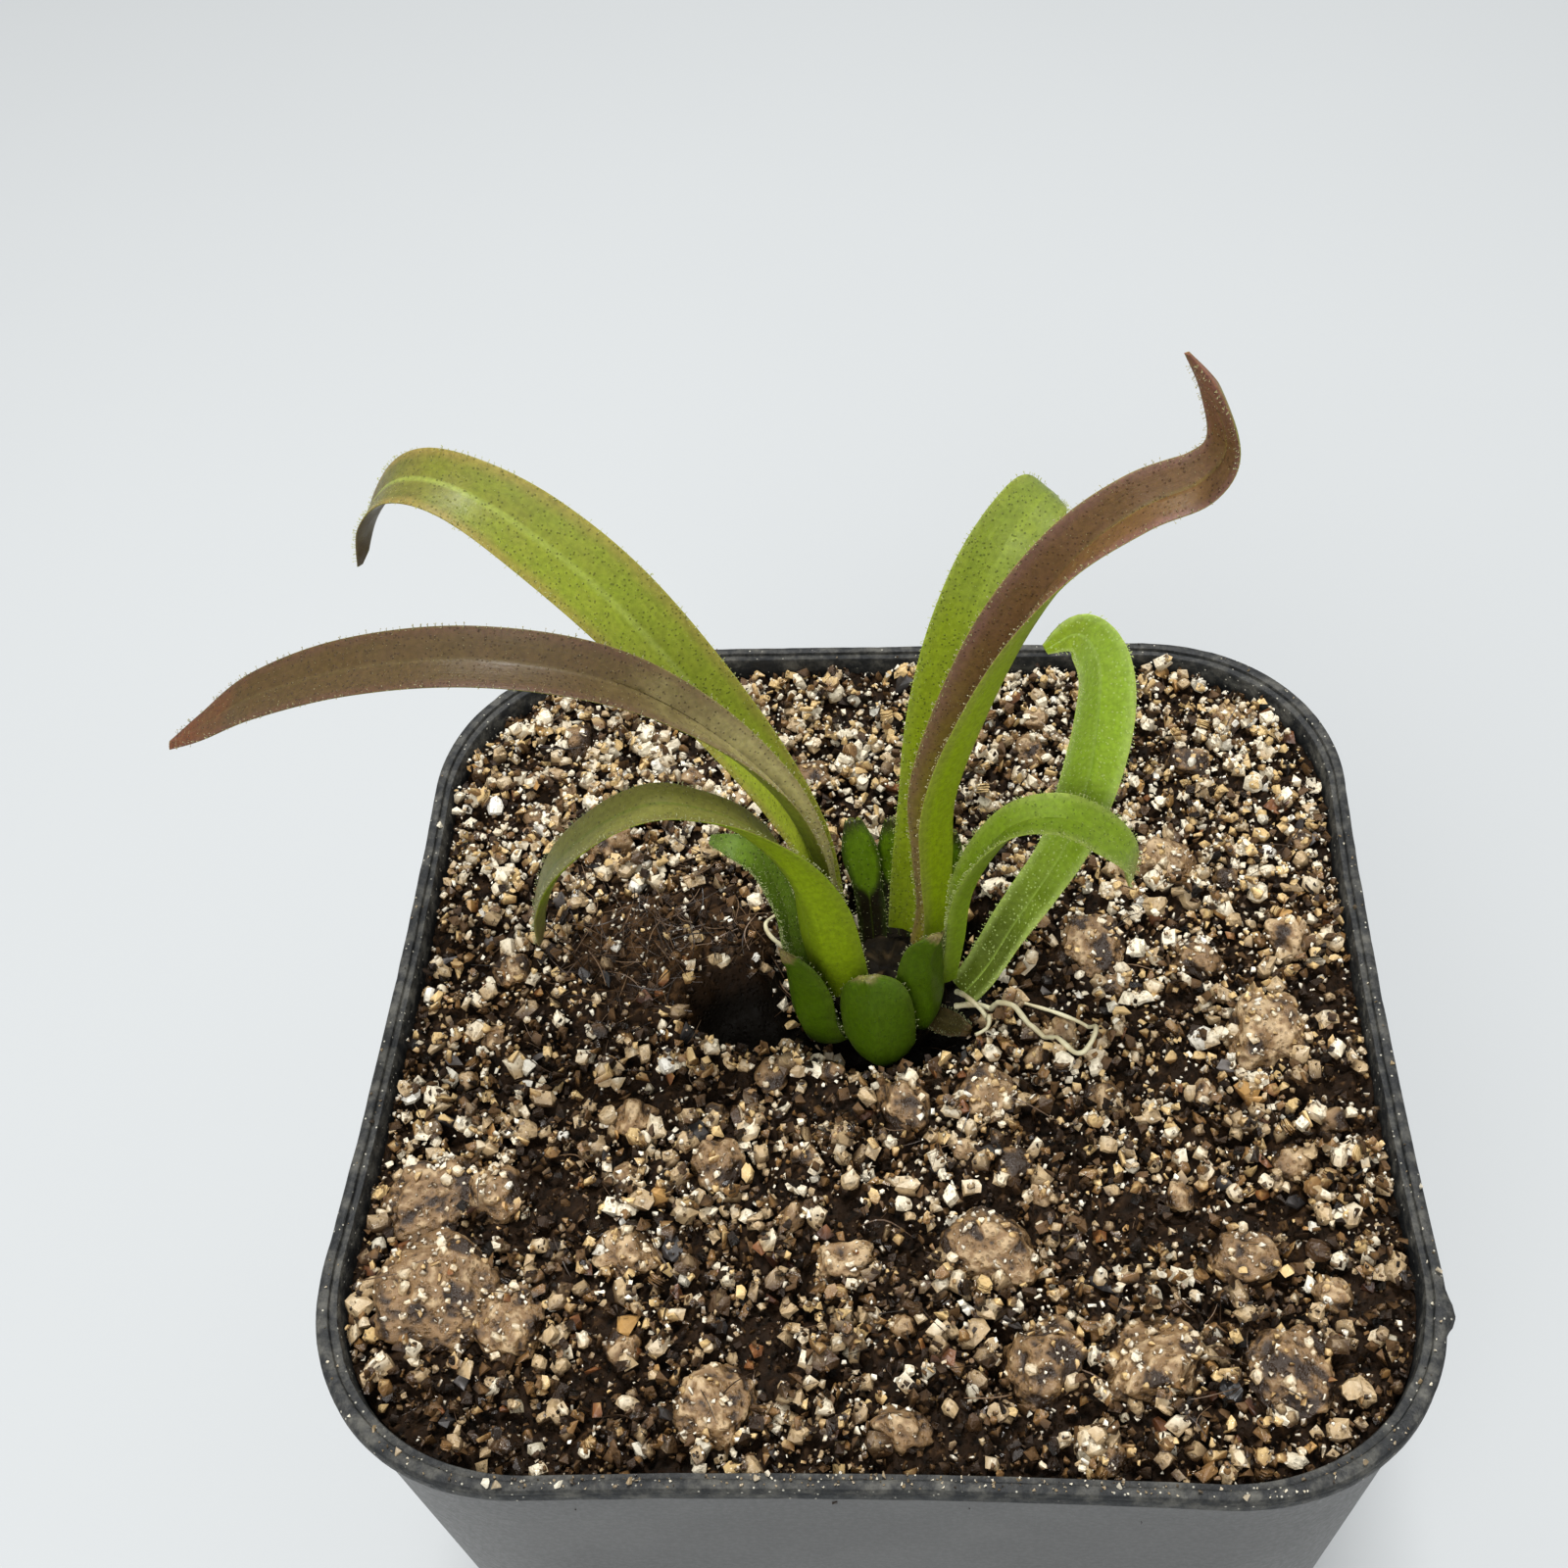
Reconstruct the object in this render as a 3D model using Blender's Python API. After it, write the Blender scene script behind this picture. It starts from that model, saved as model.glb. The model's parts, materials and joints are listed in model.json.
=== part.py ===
"""A butterwort in a square nursery pot, as separate solids at real size.

Metres, +Z up. The origin is the middle of the pot's flat underside, and -Y is the side
that faces the viewer. Sizes and places below are written in millimetres.
"""

import math
import random

import bmesh
import bpy
from mathutils import Matrix, Vector, noise

MM = 0.001
GAP = 0.3

# Pot: a 76 mm square nursery pot.
POT_HEIGHT = 76.0
RIM_WIDTH = 76.0
RIM_CORNER = 16.3
SIDE_PULLS = (1.2, 0.0, 1.2, 1.2)
LIP_OVERHANG = 0.3
LIP_HEIGHT = 1.6
RIM_FACE = 0.75
STEP_DROP = 0.35
EDGE_CUT = 0.3
FOOT_CUT = 0.6
WALL = 1.0
TAPER = 0.073
FLOOR_TOP = 2.7
FLOOR_RAISE = 1.5
FOOT_BAND = 3.0
PAD_RADIUS = 9.0
DRAIN_RADIUS = 2.6
DRAIN_RING = 17.0
DRAIN_COUNT = 8
PAD_SIDES = 28
DRAIN_SIDES = 12
CORNER_STEPS = 7
SIDE_STEPS = 4

# Soil: its level under the rim, and the dish that the rosette sits in.
SOIL_DROP = 1.7
SOIL_WAVE = 0.55
DISH_RADIUS = 7.2
DISH_SLOPE = 3.4
DISH_FLOOR = 6.8
MOUND_HEIGHT = 1.3
SOIL_CELLS = 20
GRAIN_COUNT = 155
GRAIN_SIZES = (1.5, 2.9)
GRAIN_MARGIN = 2.0
GRAIN_CORNER = 14.0
GRAIN_SPACING = 0.75
STONE_RAISE = 0.1
HEADROOM = 4.0
LUMP_ROUGHNESS = 0.35
FINE_LUMP = 3.2
SEED = 7

# Crown: the short stem that carries the leaves, placed from the middle of the pot.
CROWN_X = 0.5
CROWN_Y = 4.5
STEM_RADIUS = 4.4
STEM_FOOT = 13.0
STEM_SIDES = 18
STEM_PROFILE = (
    (STEM_RADIUS - 1.0, -STEM_FOOT), (STEM_RADIUS - 0.4, -9.0), (STEM_RADIUS, -5.8),
    (STEM_RADIUS, -4.2), (STEM_RADIUS - 0.5, -2.9), (STEM_RADIUS - 1.9, -2.0),
)

# Leaves.
BLADE = 0.7
ACROSS = 4
LONG_STATIONS = 18
SHORT_STATIONS = 8

# Each leaf: heading and the curl of each half, in degrees, and its midrib from base to
# tip as (x, y, z, width, roll, fold). x and y are from the crown's axis and z is from the
# rim's plane. Roll turns the upper face to the left of the heading, and fold is how far
# each half is raised from flat at the midrib, both in degrees.
LONG_LEAVES = {
    "leaf_upper_left": (160, 14, (
        (-4.3, 2.0, -2.6, 3.2, 5, 35),
        (-5.1, 3.5, 1.1, 4.0, 8, 32),
        (-6.5, 3.9, 9.5, 4.7, 12, 28),
        (-10.5, 5.4, 18.0, 5.5, 18, 20),
        (-17.1, 7.8, 27.4, 6.4, 22, 14),
        (-22.8, 9.8, 32.8, 6.2, 20, 12),
        (-27.9, 11.7, 35.4, 5.2, 16, 10),
        (-31.9, 13.2, 35.0, 4.8, 12, 8),
        (-35.0, 14.3, 31.6, 4.0, 10, 5),
        (-37.3, 15.1, 26.3, 0.8, 10, 3),
    )),
    "leaf_far_left": (181, 14, (
        (-2.9, 0.3, -1.2, 1.8, 10, 50),
        (-4.4, 0.4, 7.0, 2.2, 15, 58),
        (-5.0, 0.4, 12.0, 2.6, 20, 58),
        (-7.3, 0.4, 18.3, 3.2, 20, 48),
        (-12.0, 0.4, 24.4, 4.2, 20, 34),
        (-18.0, 0.4, 28.6, 4.8, 20, 22),
        (-26.0, 0.4, 30.4, 4.8, 20, 14),
        (-34.0, 0.4, 29.7, 4.6, 20, 12),
        (-40.8, 0.4, 27.4, 3.8, 20, 10),
        (-45.4, 0.4, 24.6, 2.2, 20, 8),
        (-48.3, 0.4, 22.9, 0.7, 20, 5),
    )),
    "leaf_left_arching": (205, 14, (
        (-4.1, -3.2, -1.0, 5.4, -36, 20),
        (-4.6, -3.3, 3.0, 5.4, -36, 20),
        (-5.1, -3.2, 8.6, 5.0, -32, 20),
        (-6.4, -3.1, 13.6, 4.4, -20, 20),
        (-9.0, -3.3, 17.8, 3.8, 0, 18),
        (-11.8, -3.6, 20.0, 3.5, 12, 14),
        (-14.9, -4.0, 21.0, 3.8, 15, 10),
        (-18.5, -4.5, 19.4, 3.8, 15, 10),
        (-21.8, -4.9, 16.1, 3.6, 15, 8),
        (-23.7, -5.2, 12.2, 2.8, 15, 6),
        (-24.4, -5.3, 8.2, 0.8, 15, 5),
    )),
    "leaf_left_short": (168, 14, (
        (-5.6, -1.0, -2.4, 1.8, 30, 20),
        (-7.2, -0.4, 1.5, 2.1, 30, 20),
        (-7.5, -0.2, 5.6, 2.3, 30, 20),
        (-8.7, 0.0, 10.4, 2.4, 30, 15),
        (-10.1, 0.0, 12.1, 2.1, 30, 10),
        (-12.2, 0.5, 12.5, 0.7, 30, 8),
    )),
    "leaf_tall_middle": (75, 12, (
        (1.2, 3.6, -1.6, 2.4, 0, 20),
        (2.0, 5.2, 4.0, 3.2, 0, 20),
        (3.0, 6.2, 10.0, 3.9, 0, 18),
        (3.8, 7.0, 15.2, 4.6, 0, 16),
        (4.9, 7.8, 20.4, 5.1, 0, 14),
        (6.3, 8.8, 25.0, 5.4, 0, 12),
        (8.0, 10.3, 28.8, 5.4, 0, 10),
        (9.8, 12.0, 31.3, 5.0, 0, 8),
        (11.4, 14.2, 31.9, 4.0, 0, 5),
        (12.4, 16.4, 30.0, 0.9, 0, 3),
    )),
    "leaf_right_kinked": (8, 12, (
        (3.2, 0.7, -1.2, 3.4, 0, 45),
        (4.4, 1.7, 2.6, 4.4, -5, 54),
        (4.7, 2.0, 9.0, 5.3, -8, 60),
        (5.0, 2.2, 15.4, 6.0, -10, 60),
        (7.1, 2.5, 23.1, 6.3, -12, 57),
        (9.8, 2.9, 30.3, 6.0, -15, 50),
        (13.1, 3.3, 36.0, 5.2, -20, 38),
        (16.8, 3.8, 39.4, 4.6, -28, 28),
        (20.4, 4.3, 41.0, 4.0, -30, 20),
        (21.8, 4.6, 43.4, 3.0, -30, 18),
        (20.6, 4.4, 47.3, 2.0, -30, 12),
        (18.7, 4.1, 50.4, 0.5, -30, 8),
    )),
    "leaf_right_curled": (20, 12, (
        (6.0, -0.6, -4.6, 3.2, -10, 20),
        (7.8, 0.0, -1.9, 3.6, -15, 22),
        (9.7, 0.8, 2.2, 3.8, -25, 25),
        (13.3, 2.2, 9.8, 4.2, -45, 28),
        (14.5, 2.8, 16.5, 5.0, -68, 28),
        (14.8, 3.1, 22.8, 5.4, -88, 26),
        (14.5, 3.0, 27.4, 4.5, -105, 18),
        (13.1, 2.4, 30.3, 3.0, -115, 10),
        (11.1, 1.4, 29.9, 0.8, -120, 8),
    )),
    "leaf_right_arching": (-4, 12, (
        (4.9, -0.5, -2.4, 2.3, 0, 38),
        (5.5, -1.2, 3.0, 2.7, 0, 40),
        (6.3, -1.4, 9.8, 3.1, -5, 38),
        (9.0, -1.6, 15.6, 3.3, -10, 28),
        (12.2, -1.9, 17.2, 3.5, -15, 18),
        (15.0, -2.3, 16.0, 3.6, -15, 12),
        (17.0, -2.5, 13.8, 2.7, -15, 10),
        (17.4, -2.5, 11.0, 0.8, -15, 8),
    )),
}

# The short leaves that are grown into the crown, in the same terms.
SHORT_LEAVES = (
    (265, 34, (
        (-0.3, -3.8, -5.9, 3.0, 0, 12),
        (-0.3, -6.5, -5.0, 3.4, 0, 12),
        (-0.5, -7.4, -2.6, 5.8, 0, 10),
        (-0.7, -6.9, 1.0, 6.2, 0, 8),
        (-0.5, -5.9, 4.2, 4.6, 0, 6),
    )),
    (252, 30, (
        (-2.9, -2.9, -5.9, 2.8, 0, 12),
        (-5.0, -4.6, -4.7, 4.0, 0, 12),
        (-6.0, -5.0, -1.8, 5.2, 0, 10),
        (-6.2, -4.8, 1.6, 5.2, 0, 8),
        (-6.5, -4.8, 4.4, 3.6, 0, 8),
        (-7.1, -5.0, 6.3, 1.1, 0, 6),
    )),
    (304, 30, (
        (2.4, -2.8, -5.6, 2.9, 0, 12),
        (3.1, -4.3, -2.6, 3.8, 0, 10),
        (3.3, -4.2, 1.6, 3.7, 0, 8),
        (3.3, -3.9, 4.8, 2.9, 0, 8),
        (4.0, -3.9, 6.9, 1.6, 0, 6),
    )),
    (100, 30, (
        (-1.1, 2.8, -4.0, 2.2, 0, 10),
        (-1.5, 5.4, 1.2, 2.5, 0, 10),
        (-2.1, 6.7, 4.2, 3.0, 0, 8),
        (-2.5, 7.6, 6.4, 1.4, 0, 6),
    )),
    (80, 30, (
        (1.0, 3.2, -5.0, 2.0, 0, 10),
        (0.6, 6.8, 0.0, 2.2, 0, 10),
        (0.5, 7.6, 3.4, 2.4, 0, 8),
        (0.4, 8.2, 5.8, 1.0, 0, 6),
    )),
    (45, 30, (
        (3.0, 2.4, -4.8, 2.0, 0, 10),
        (5.4, 5.2, 0.2, 2.0, 0, 10),
        (5.4, 6.6, 3.4, 1.8, 0, 8),
        (5.2, 7.4, 5.2, 0.9, 0, 6),
    )),
    (325, 16, (
        (3.0, -2.0, -5.6, 2.2, 0, 8),
        (4.8, -3.2, -5.3, 2.4, 0, 6),
        (6.2, -4.0, -4.9, 1.0, 0, 4),
    )),
)

ROOT_RADIUS = 0.25
ROOT_CLEAR = 2.6
ROOTS = {
    "root_right_long": (
        (5.2, -2.8, -3.2), (7.1, -3.7, -1.9), (9.7, -5.5, -1.4), (11.9, -7.2, -1.4),
        (13.3, -8.6, -1.4), (14.5, -8.6, -1.4), (15.3, -7.4, -1.3), (14.9, -6.2, -1.2),
        (12.9, -5.0, -1.2), (10.3, -4.0, -1.2),
    ),
    "root_right_short": (
        (5.3, -1.7, -2.9), (6.1, -3.4, -1.3), (7.3, -4.9, -1.3), (7.6, -6.1, -1.7),
        (6.6, -6.7, -2.2),
    ),
    "root_left": (
        (-4.9, 0.9, -3.4), (-7.2, 1.3, -1.9), (-8.8, 1.7, -0.5), (-9.4, 3.1, -0.6),
        (-8.8, 4.6, -1.4),
    ),
}

# The larger pumice lumps that show, as (x, y, radius) from the middle of the pot.
PUMICE = (
    (-31.0, -15.5, 3.4), (-26.5, -15.5, 2.3), (-29.5, -23.0, 4.6), (-24.0, -25.0, 3.1),
    (-10.0, -30.5, 3.0), (2.0, -8.0, 2.6), (8.0, -7.0, 2.2), (11.0, -27.5, 3.0),
    (8.0, -19.5, 3.7), (18.5, -27.5, 3.9), (27.0, -28.0, 3.0), (28.0, -2.0, 3.5),
    (16.0, 7.0, 3.1), (-28.0, 4.0, 1.8), (22.0, 15.0, 2.4), (25.0, 25.0, 2.2),
    (-11.0, -13.0, 2.1), (-2.0, -20.5, 1.8), (-22.0, 17.0, 2.0), (25.0, -20.0, 2.2),
    (-17.5, -9.0, 1.7), (24.0, 5.0, 2.0), (31.0, 7.0, 1.9), (-17.0, -20.0, 2.0),
    (-6.0, 24.0, 1.9), (12.0, 27.0, 1.8), (-15.0, 30.0, 1.7), (2.0, -32.0, 2.0),
)


def clear_scene():
    """Removes what a new file starts with."""
    for thing in list(bpy.data.objects):
        bpy.data.objects.remove(thing, do_unlink=True)


def material(name, colour, roughness):
    """A plain surface of one colour."""
    finish = bpy.data.materials.new(name)
    finish.use_nodes = True
    shader = finish.node_tree.nodes["Principled BSDF"]
    shader.inputs["Base Color"].default_value = (*colour, 1.0)
    shader.inputs["Roughness"].default_value = roughness
    shader.inputs["Metallic"].default_value = 0.0
    finish.diffuse_color = (*colour, 1.0)
    return finish


def object_of(name, work, finish):
    """Makes an object of a bmesh whose points are in millimetres."""
    bmesh.ops.scale(work, vec=(MM, MM, MM), verts=work.verts)
    mesh = bpy.data.meshes.new(name)
    work.to_mesh(mesh)
    work.free()
    made = bpy.data.objects.new(name, mesh)
    bpy.context.scene.collection.objects.link(made)
    mesh.materials.append(finish)
    return made


def settle(thing):
    """Applies an object's modifiers."""
    bpy.context.view_layer.update()
    graph = bpy.context.evaluated_depsgraph_get()
    mesh = bpy.data.meshes.new_from_object(thing.evaluated_get(graph), depsgraph=graph)
    thing.modifiers.clear()
    thing.data = mesh


def join(main, others, operation="UNION"):
    """Joins a collection of closed shapes to the main one, or cuts them from it.

    The solver is MANIFOLD, because EXACT leaves open edges on shapes this finely faceted.
    """
    group = bpy.data.collections.new(main.name + "_pieces")
    for other in others:
        group.objects.link(other)
    change = main.modifiers.new(operation.title(), "BOOLEAN")
    change.operation = operation
    change.solver = "MANIFOLD"
    change.operand_type = "COLLECTION"
    change.collection = group
    settle(main)
    for other in others:
        bpy.data.objects.remove(other, do_unlink=True)
    bpy.data.collections.remove(group)


# Curves

def catmull_rom(before, start, end, after, t):
    """One point of a smooth curve between start and end, for points of any length."""
    return [
        0.5 * (2 * b + (c - a) * t + (2 * a - 5 * b + 4 * c - d) * t ** 2
               + (3 * b - a - 3 * c + d) * t ** 3)
        for a, b, c, d in zip(before, start, end, after)
    ]


def smooth_points(points, count, fine=24):
    """Reads count points, evenly spaced by length, from a smooth curve through points."""
    ends = [points[0], *points, points[-1]]
    dense = []
    for k in range(len(points) - 1):
        dense += [catmull_rom(*ends[k:k + 4], step / fine) for step in range(fine)]
    dense.append(list(points[-1]))
    reach = [0.0]
    for a, b in zip(dense, dense[1:]):
        reach.append(reach[-1] + math.dist(a[:3], b[:3]))
    picked = []
    k = 0
    for step in range(count):
        goal = reach[-1] * step / (count - 1)
        while k < len(dense) - 2 and reach[k + 1] < goal:
            k += 1
        t = min(1.0, (goal - reach[k]) / (reach[k + 1] - reach[k]))
        picked.append([a + (b - a) * t for a, b in zip(dense[k], dense[k + 1])])
    return picked


def rim_point(half, corner, place):
    """A point of a square of round corners, with each side drawn in by its own pull.

    place runs from 0 to 1 round it, from the middle of the +X side.
    """
    straight = half - corner
    arc = corner * math.pi / 2
    along = (place % 1.0) * 4 * (2 * straight + arc)
    side, along = divmod(along, 2 * straight + arc)
    pull, next_pull = SIDE_PULLS[int(side)], SIDE_PULLS[(int(side) + 1) % 4]
    if along < straight:
        x, y = half, along
    elif along < straight + arc:
        turn = (along - straight) / corner
        x = straight + corner * math.cos(turn)
        y = straight + corner * math.sin(turn)
    else:
        x, y = straight - (along - straight - arc), half
    x -= pull * max(0.0, 1 - (y / half) ** 2) * (x / half) ** 3
    y -= next_pull * max(0.0, 1 - (x / half) ** 2) * (y / half) ** 3
    for _ in range(int(side)):
        x, y = -y, x
    return x, y


# Pot

def pot_places():
    """Where the pot's outline has its points: close together round the corners."""
    straight = RIM_WIDTH / 2 - RIM_CORNER
    arc = RIM_CORNER * math.pi / 2
    quarter = 2 * straight + arc
    stops = [straight * k / SIDE_STEPS for k in range(SIDE_STEPS)]
    stops += [straight + arc * k / CORNER_STEPS for k in range(CORNER_STEPS + 1)]
    stops += [straight + arc + straight * k / SIDE_STEPS for k in range(1, SIDE_STEPS)]
    return [(side + stop / quarter) / 4 for side in range(4) for stop in stops]


def wall_half(z):
    """Half the width of the pot's outer wall at a height."""
    return RIM_WIDTH / 2 - LIP_OVERHANG - TAPER * (POT_HEIGHT - z)


def drawn_on(work, edges, scale, z):
    """Extrudes a closed edge loop to another height, scaled about the pot's middle."""
    made = bmesh.ops.extrude_edge_only(work, edges=edges)["geom"]
    for vert in (part for part in made if isinstance(part, bmesh.types.BMVert)):
        vert.co = (vert.co.x * scale, vert.co.y * scale, z)
    return [part for part in made if isinstance(part, bmesh.types.BMEdge)]


def build_pot(finish):
    """The pot: foot band, tapered wall, stepped rim, inner wall and drained floor."""
    top = POT_HEIGHT
    edge = RIM_WIDTH / 2
    work = bmesh.new()
    profile = (
        (wall_half(0) - FOOT_BAND, FLOOR_RAISE),
        (wall_half(0) - FOOT_BAND, 0.0),
        (wall_half(0) - FOOT_CUT, 0.0),
        (wall_half(0), FOOT_CUT),
        (wall_half(top - LIP_HEIGHT), top - LIP_HEIGHT),
        (edge - EDGE_CUT, top - LIP_HEIGHT),
        (edge, top - LIP_HEIGHT + EDGE_CUT),
        (edge, top - EDGE_CUT),
        (edge - EDGE_CUT, top),
        (edge - RIM_FACE, top),
        (edge - RIM_FACE - EDGE_CUT / 2, top - STEP_DROP),
        (edge - LIP_OVERHANG - WALL, top - STEP_DROP),
        (wall_half(FLOOR_TOP) - WALL, FLOOR_TOP),
    )
    half, z = profile[0]
    scale = half / edge
    points = [rim_point(edge, RIM_CORNER, place) for place in pot_places()]
    verts = [work.verts.new((x * scale, y * scale, z)) for x, y in points]
    border = [work.edges.new(pair) for pair in zip(verts, verts[1:] + verts[:1])]
    bmesh.ops.edgeloop_fill(work, edges=border)
    for next_half, next_z in profile[1:]:
        border = drawn_on(work, border, next_half / half, next_z)
        half = next_half
    bmesh.ops.edgeloop_fill(work, edges=border)
    bmesh.ops.recalc_face_normals(work, faces=work.faces)
    pot = object_of("pot", work, finish)
    pad_top = (FLOOR_RAISE + FLOOR_TOP) / 2
    pad = turned("pad", ((PAD_RADIUS, 0.0), (PAD_RADIUS, pad_top)), PAD_SIDES, finish)
    join(pot, [pad])
    drains = []
    through = ((DRAIN_RADIUS, -FLOOR_TOP), (DRAIN_RADIUS, 2 * FLOOR_TOP))
    for k in range(DRAIN_COUNT):
        angle = math.tau * (k + 0.5) / DRAIN_COUNT
        drain = turned("drain", through, DRAIN_SIDES, finish)
        place = Vector((math.cos(angle), math.sin(angle), 0)) * DRAIN_RING * MM
        drain.data.transform(Matrix.Translation(place))
        drains.append(drain)
    join(pot, drains, "DIFFERENCE")
    smooth(pot, 35)
    return pot


def turned(name, profile, steps, finish):
    """A closed turned shape of a profile of (radius, z) from its foot to its top."""
    work = bmesh.new()
    points = [(0.0, profile[0][1]), *profile, (0.0, profile[-1][1])]
    verts = [work.verts.new((radius, 0, z)) for radius, z in points]
    edges = [work.edges.new(pair) for pair in zip(verts, verts[1:])]
    bmesh.ops.spin(work, geom=verts + edges, axis=(0, 0, 1), cent=(0, 0, 0), steps=steps,
                   angle=math.tau, use_merge=True)
    bmesh.ops.remove_doubles(work, verts=work.verts, dist=0.001)
    bmesh.ops.recalc_face_normals(work, faces=work.faces)
    return object_of(name, work, finish)


def smooth(thing, angle):
    """Shades an object smooth, with edges sharper than an angle in degrees kept."""
    thing.data.shade_smooth()
    thing.data.set_sharp_from_angle(angle=math.radians(angle))


# Leaves

def blade(name, heading, curl, midrib, stations, finish):
    """A leaf: a thin blade folded up along its midrib, with halves that curl inwards."""
    course = smooth_points(midrib, stations)
    spots = [Vector(point[:3]) for point in course]
    turn = math.radians(heading)
    bend = math.radians(curl)
    side = Vector((-math.sin(turn), math.cos(turn), 0))
    frames = []
    for k, spot in enumerate(spots):
        ahead = (spots[min(k + 1, stations - 1)] - spots[max(k - 1, 0)]).normalized()
        side = (side - ahead * side.dot(ahead)).normalized()
        face = ahead.cross(side)
        roll = math.radians(course[k][4])
        frames.append((
            spot,
            side * math.cos(roll) - face * math.sin(roll),
            face * math.cos(roll) + side * math.sin(roll),
            course[k][3] / 2,
            math.radians(course[k][5]),
        ))
    work = bmesh.new()
    bmesh.ops.create_grid(work, x_segments=ACROSS, y_segments=stations - 1, size=1)
    for vert in work.verts:
        spot, side, face, half, fold = frames[round((vert.co.y + 1) / 2 * (stations - 1))]
        across = half * math.copysign(1, vert.co.x) / bend
        raised = fold + bend * abs(vert.co.x)
        out = across * (math.sin(raised) - math.sin(fold))
        rise = abs(across) * (math.cos(fold) - math.cos(raised))
        vert.co = spot + side * out + face * rise
    bmesh.ops.translate(work, vec=(CROWN_X, CROWN_Y, POT_HEIGHT), verts=work.verts)
    bmesh.ops.triangulate(work, faces=work.faces, quad_method="FIXED")
    leaf = object_of(name, work, finish)
    thick = leaf.modifiers.new("Thickness", "SOLIDIFY")
    thick.thickness = BLADE * MM
    thick.offset = 0
    smooth(leaf, 60)
    return leaf


def build_crown(finish):
    """The short stem with the short leaves that are grown into it."""
    crown = turned("crown", STEM_PROFILE, STEM_SIDES, finish)
    crown.data.transform(Matrix.Translation(Vector((CROWN_X, CROWN_Y, POT_HEIGHT)) * MM))
    leaves = []
    for heading, curl, midrib in SHORT_LEAVES:
        leaf = blade("short", heading, curl, midrib, SHORT_STATIONS, finish)
        settle(leaf)
        leaves.append(leaf)
    join(crown, leaves)
    smooth(crown, 50)
    return crown


def build_leaves(finishes):
    """The long leaves, each its own piece, seated on the crown."""
    for name, (heading, curl, midrib) in LONG_LEAVES.items():
        finish = finishes.get(name, finishes["leaf"])
        blade(name, heading, curl, midrib, LONG_STATIONS, finish)


def build_roots(finish):
    """The thin roots that show on the soil beside the crown."""
    for name, points in ROOTS.items():
        line = bpy.data.curves.new(name, "CURVE")
        line.dimensions = "3D"
        line.bevel_depth = ROOT_RADIUS * MM
        line.bevel_resolution = 1
        line.use_fill_caps = True
        course = smooth_points(points, 6 * len(points) // 2)
        spline = line.splines.new("POLY")
        spline.points.add(len(course) - 1)
        for point, (x, y, z) in zip(spline.points, course):
            point.co = ((x + CROWN_X) * MM, (y + CROWN_Y) * MM, (z + POT_HEIGHT) * MM, 1)
        line.materials.append(finish)
        root = bpy.data.objects.new(name, line)
        bpy.context.scene.collection.objects.link(root)


# Soil

def soil_height(x, y):
    """The height of the soil's own surface at a place, without its grains."""
    wave = noise.noise(Vector((x, y, 0)) * 0.11) + 0.6 * noise.noise(Vector((x, y, 9)) * 0.27)
    mound = MOUND_HEIGHT * math.exp(-(((x + 17) / 8) ** 2 + ((y - 6) / 6) ** 2))
    level = POT_HEIGHT - SOIL_DROP + SOIL_WAVE * wave + mound
    reach = math.hypot(x - CROWN_X, y - CROWN_Y)
    dip = min(1.0, max(0.0, (DISH_RADIUS + DISH_SLOPE - reach) / DISH_SLOPE))
    return level + (POT_HEIGHT - DISH_FLOOR - level) * dip * dip * (3 - 2 * dip)


def soil_half(z):
    """Half the width of the soil at a height: the pot's inner wall less a gap."""
    return wall_half(z) - WALL - 1.2 * GAP


def soil_limit(finish):
    """A tapered block just clear of the pot's inside, open above the soil."""
    work = bmesh.new()
    foot = FLOOR_TOP + GAP
    head = POT_HEIGHT + HEADROOM
    scale = soil_half(foot) / (RIM_WIDTH / 2)
    points = [rim_point(RIM_WIDTH / 2, RIM_CORNER, place) for place in pot_places()]
    verts = [work.verts.new((x * scale, y * scale, foot)) for x, y in points]
    border = [work.edges.new(pair) for pair in zip(verts, verts[1:] + verts[:1])]
    bmesh.ops.edgeloop_fill(work, edges=border)
    border = drawn_on(work, border, soil_half(head) / soil_half(foot), head)
    bmesh.ops.edgeloop_fill(work, edges=border)
    bmesh.ops.recalc_face_normals(work, faces=work.faces)
    return object_of("limit", work, finish)


def soil_block(finish):
    """The soil without its grains: a block with an uneven top, wider than the pot's inside."""
    work = bmesh.new()
    bmesh.ops.create_grid(work, x_segments=SOIL_CELLS, y_segments=SOIL_CELLS, size=1)
    for vert in work.verts:
        u, v = vert.co.x, vert.co.y
        reach = max(abs(u), abs(v))
        if reach < 1e-6:
            x = y = 0.0
        else:
            x, y = rim_point(RIM_WIDTH / 2, RIM_CORNER, square_place(u / reach, v / reach))
        x, y = x * reach, y * reach
        vert.co = (x, y, soil_height(x, y))
    bmesh.ops.triangulate(work, faces=work.faces)
    border = [edge for edge in work.edges if edge.is_boundary]
    low = drawn_on(work, border, 1.0, 0.0)
    bmesh.ops.edgeloop_fill(work, edges=low)
    bmesh.ops.recalc_face_normals(work, faces=work.faces)
    return object_of("soil", work, finish)


def square_place(u, v):
    """How far round a square of half width 1 a point of its edge lies, from 0 to 1."""
    if u >= 1 - 1e-9 and abs(v) < 1 + 1e-9:
        return (v / 8) % 1.0
    if v >= 1 - 1e-9:
        return 0.25 - u / 8
    if u <= -1 + 1e-9:
        return 0.5 - v / 8
    return 0.75 + u / 8


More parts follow.
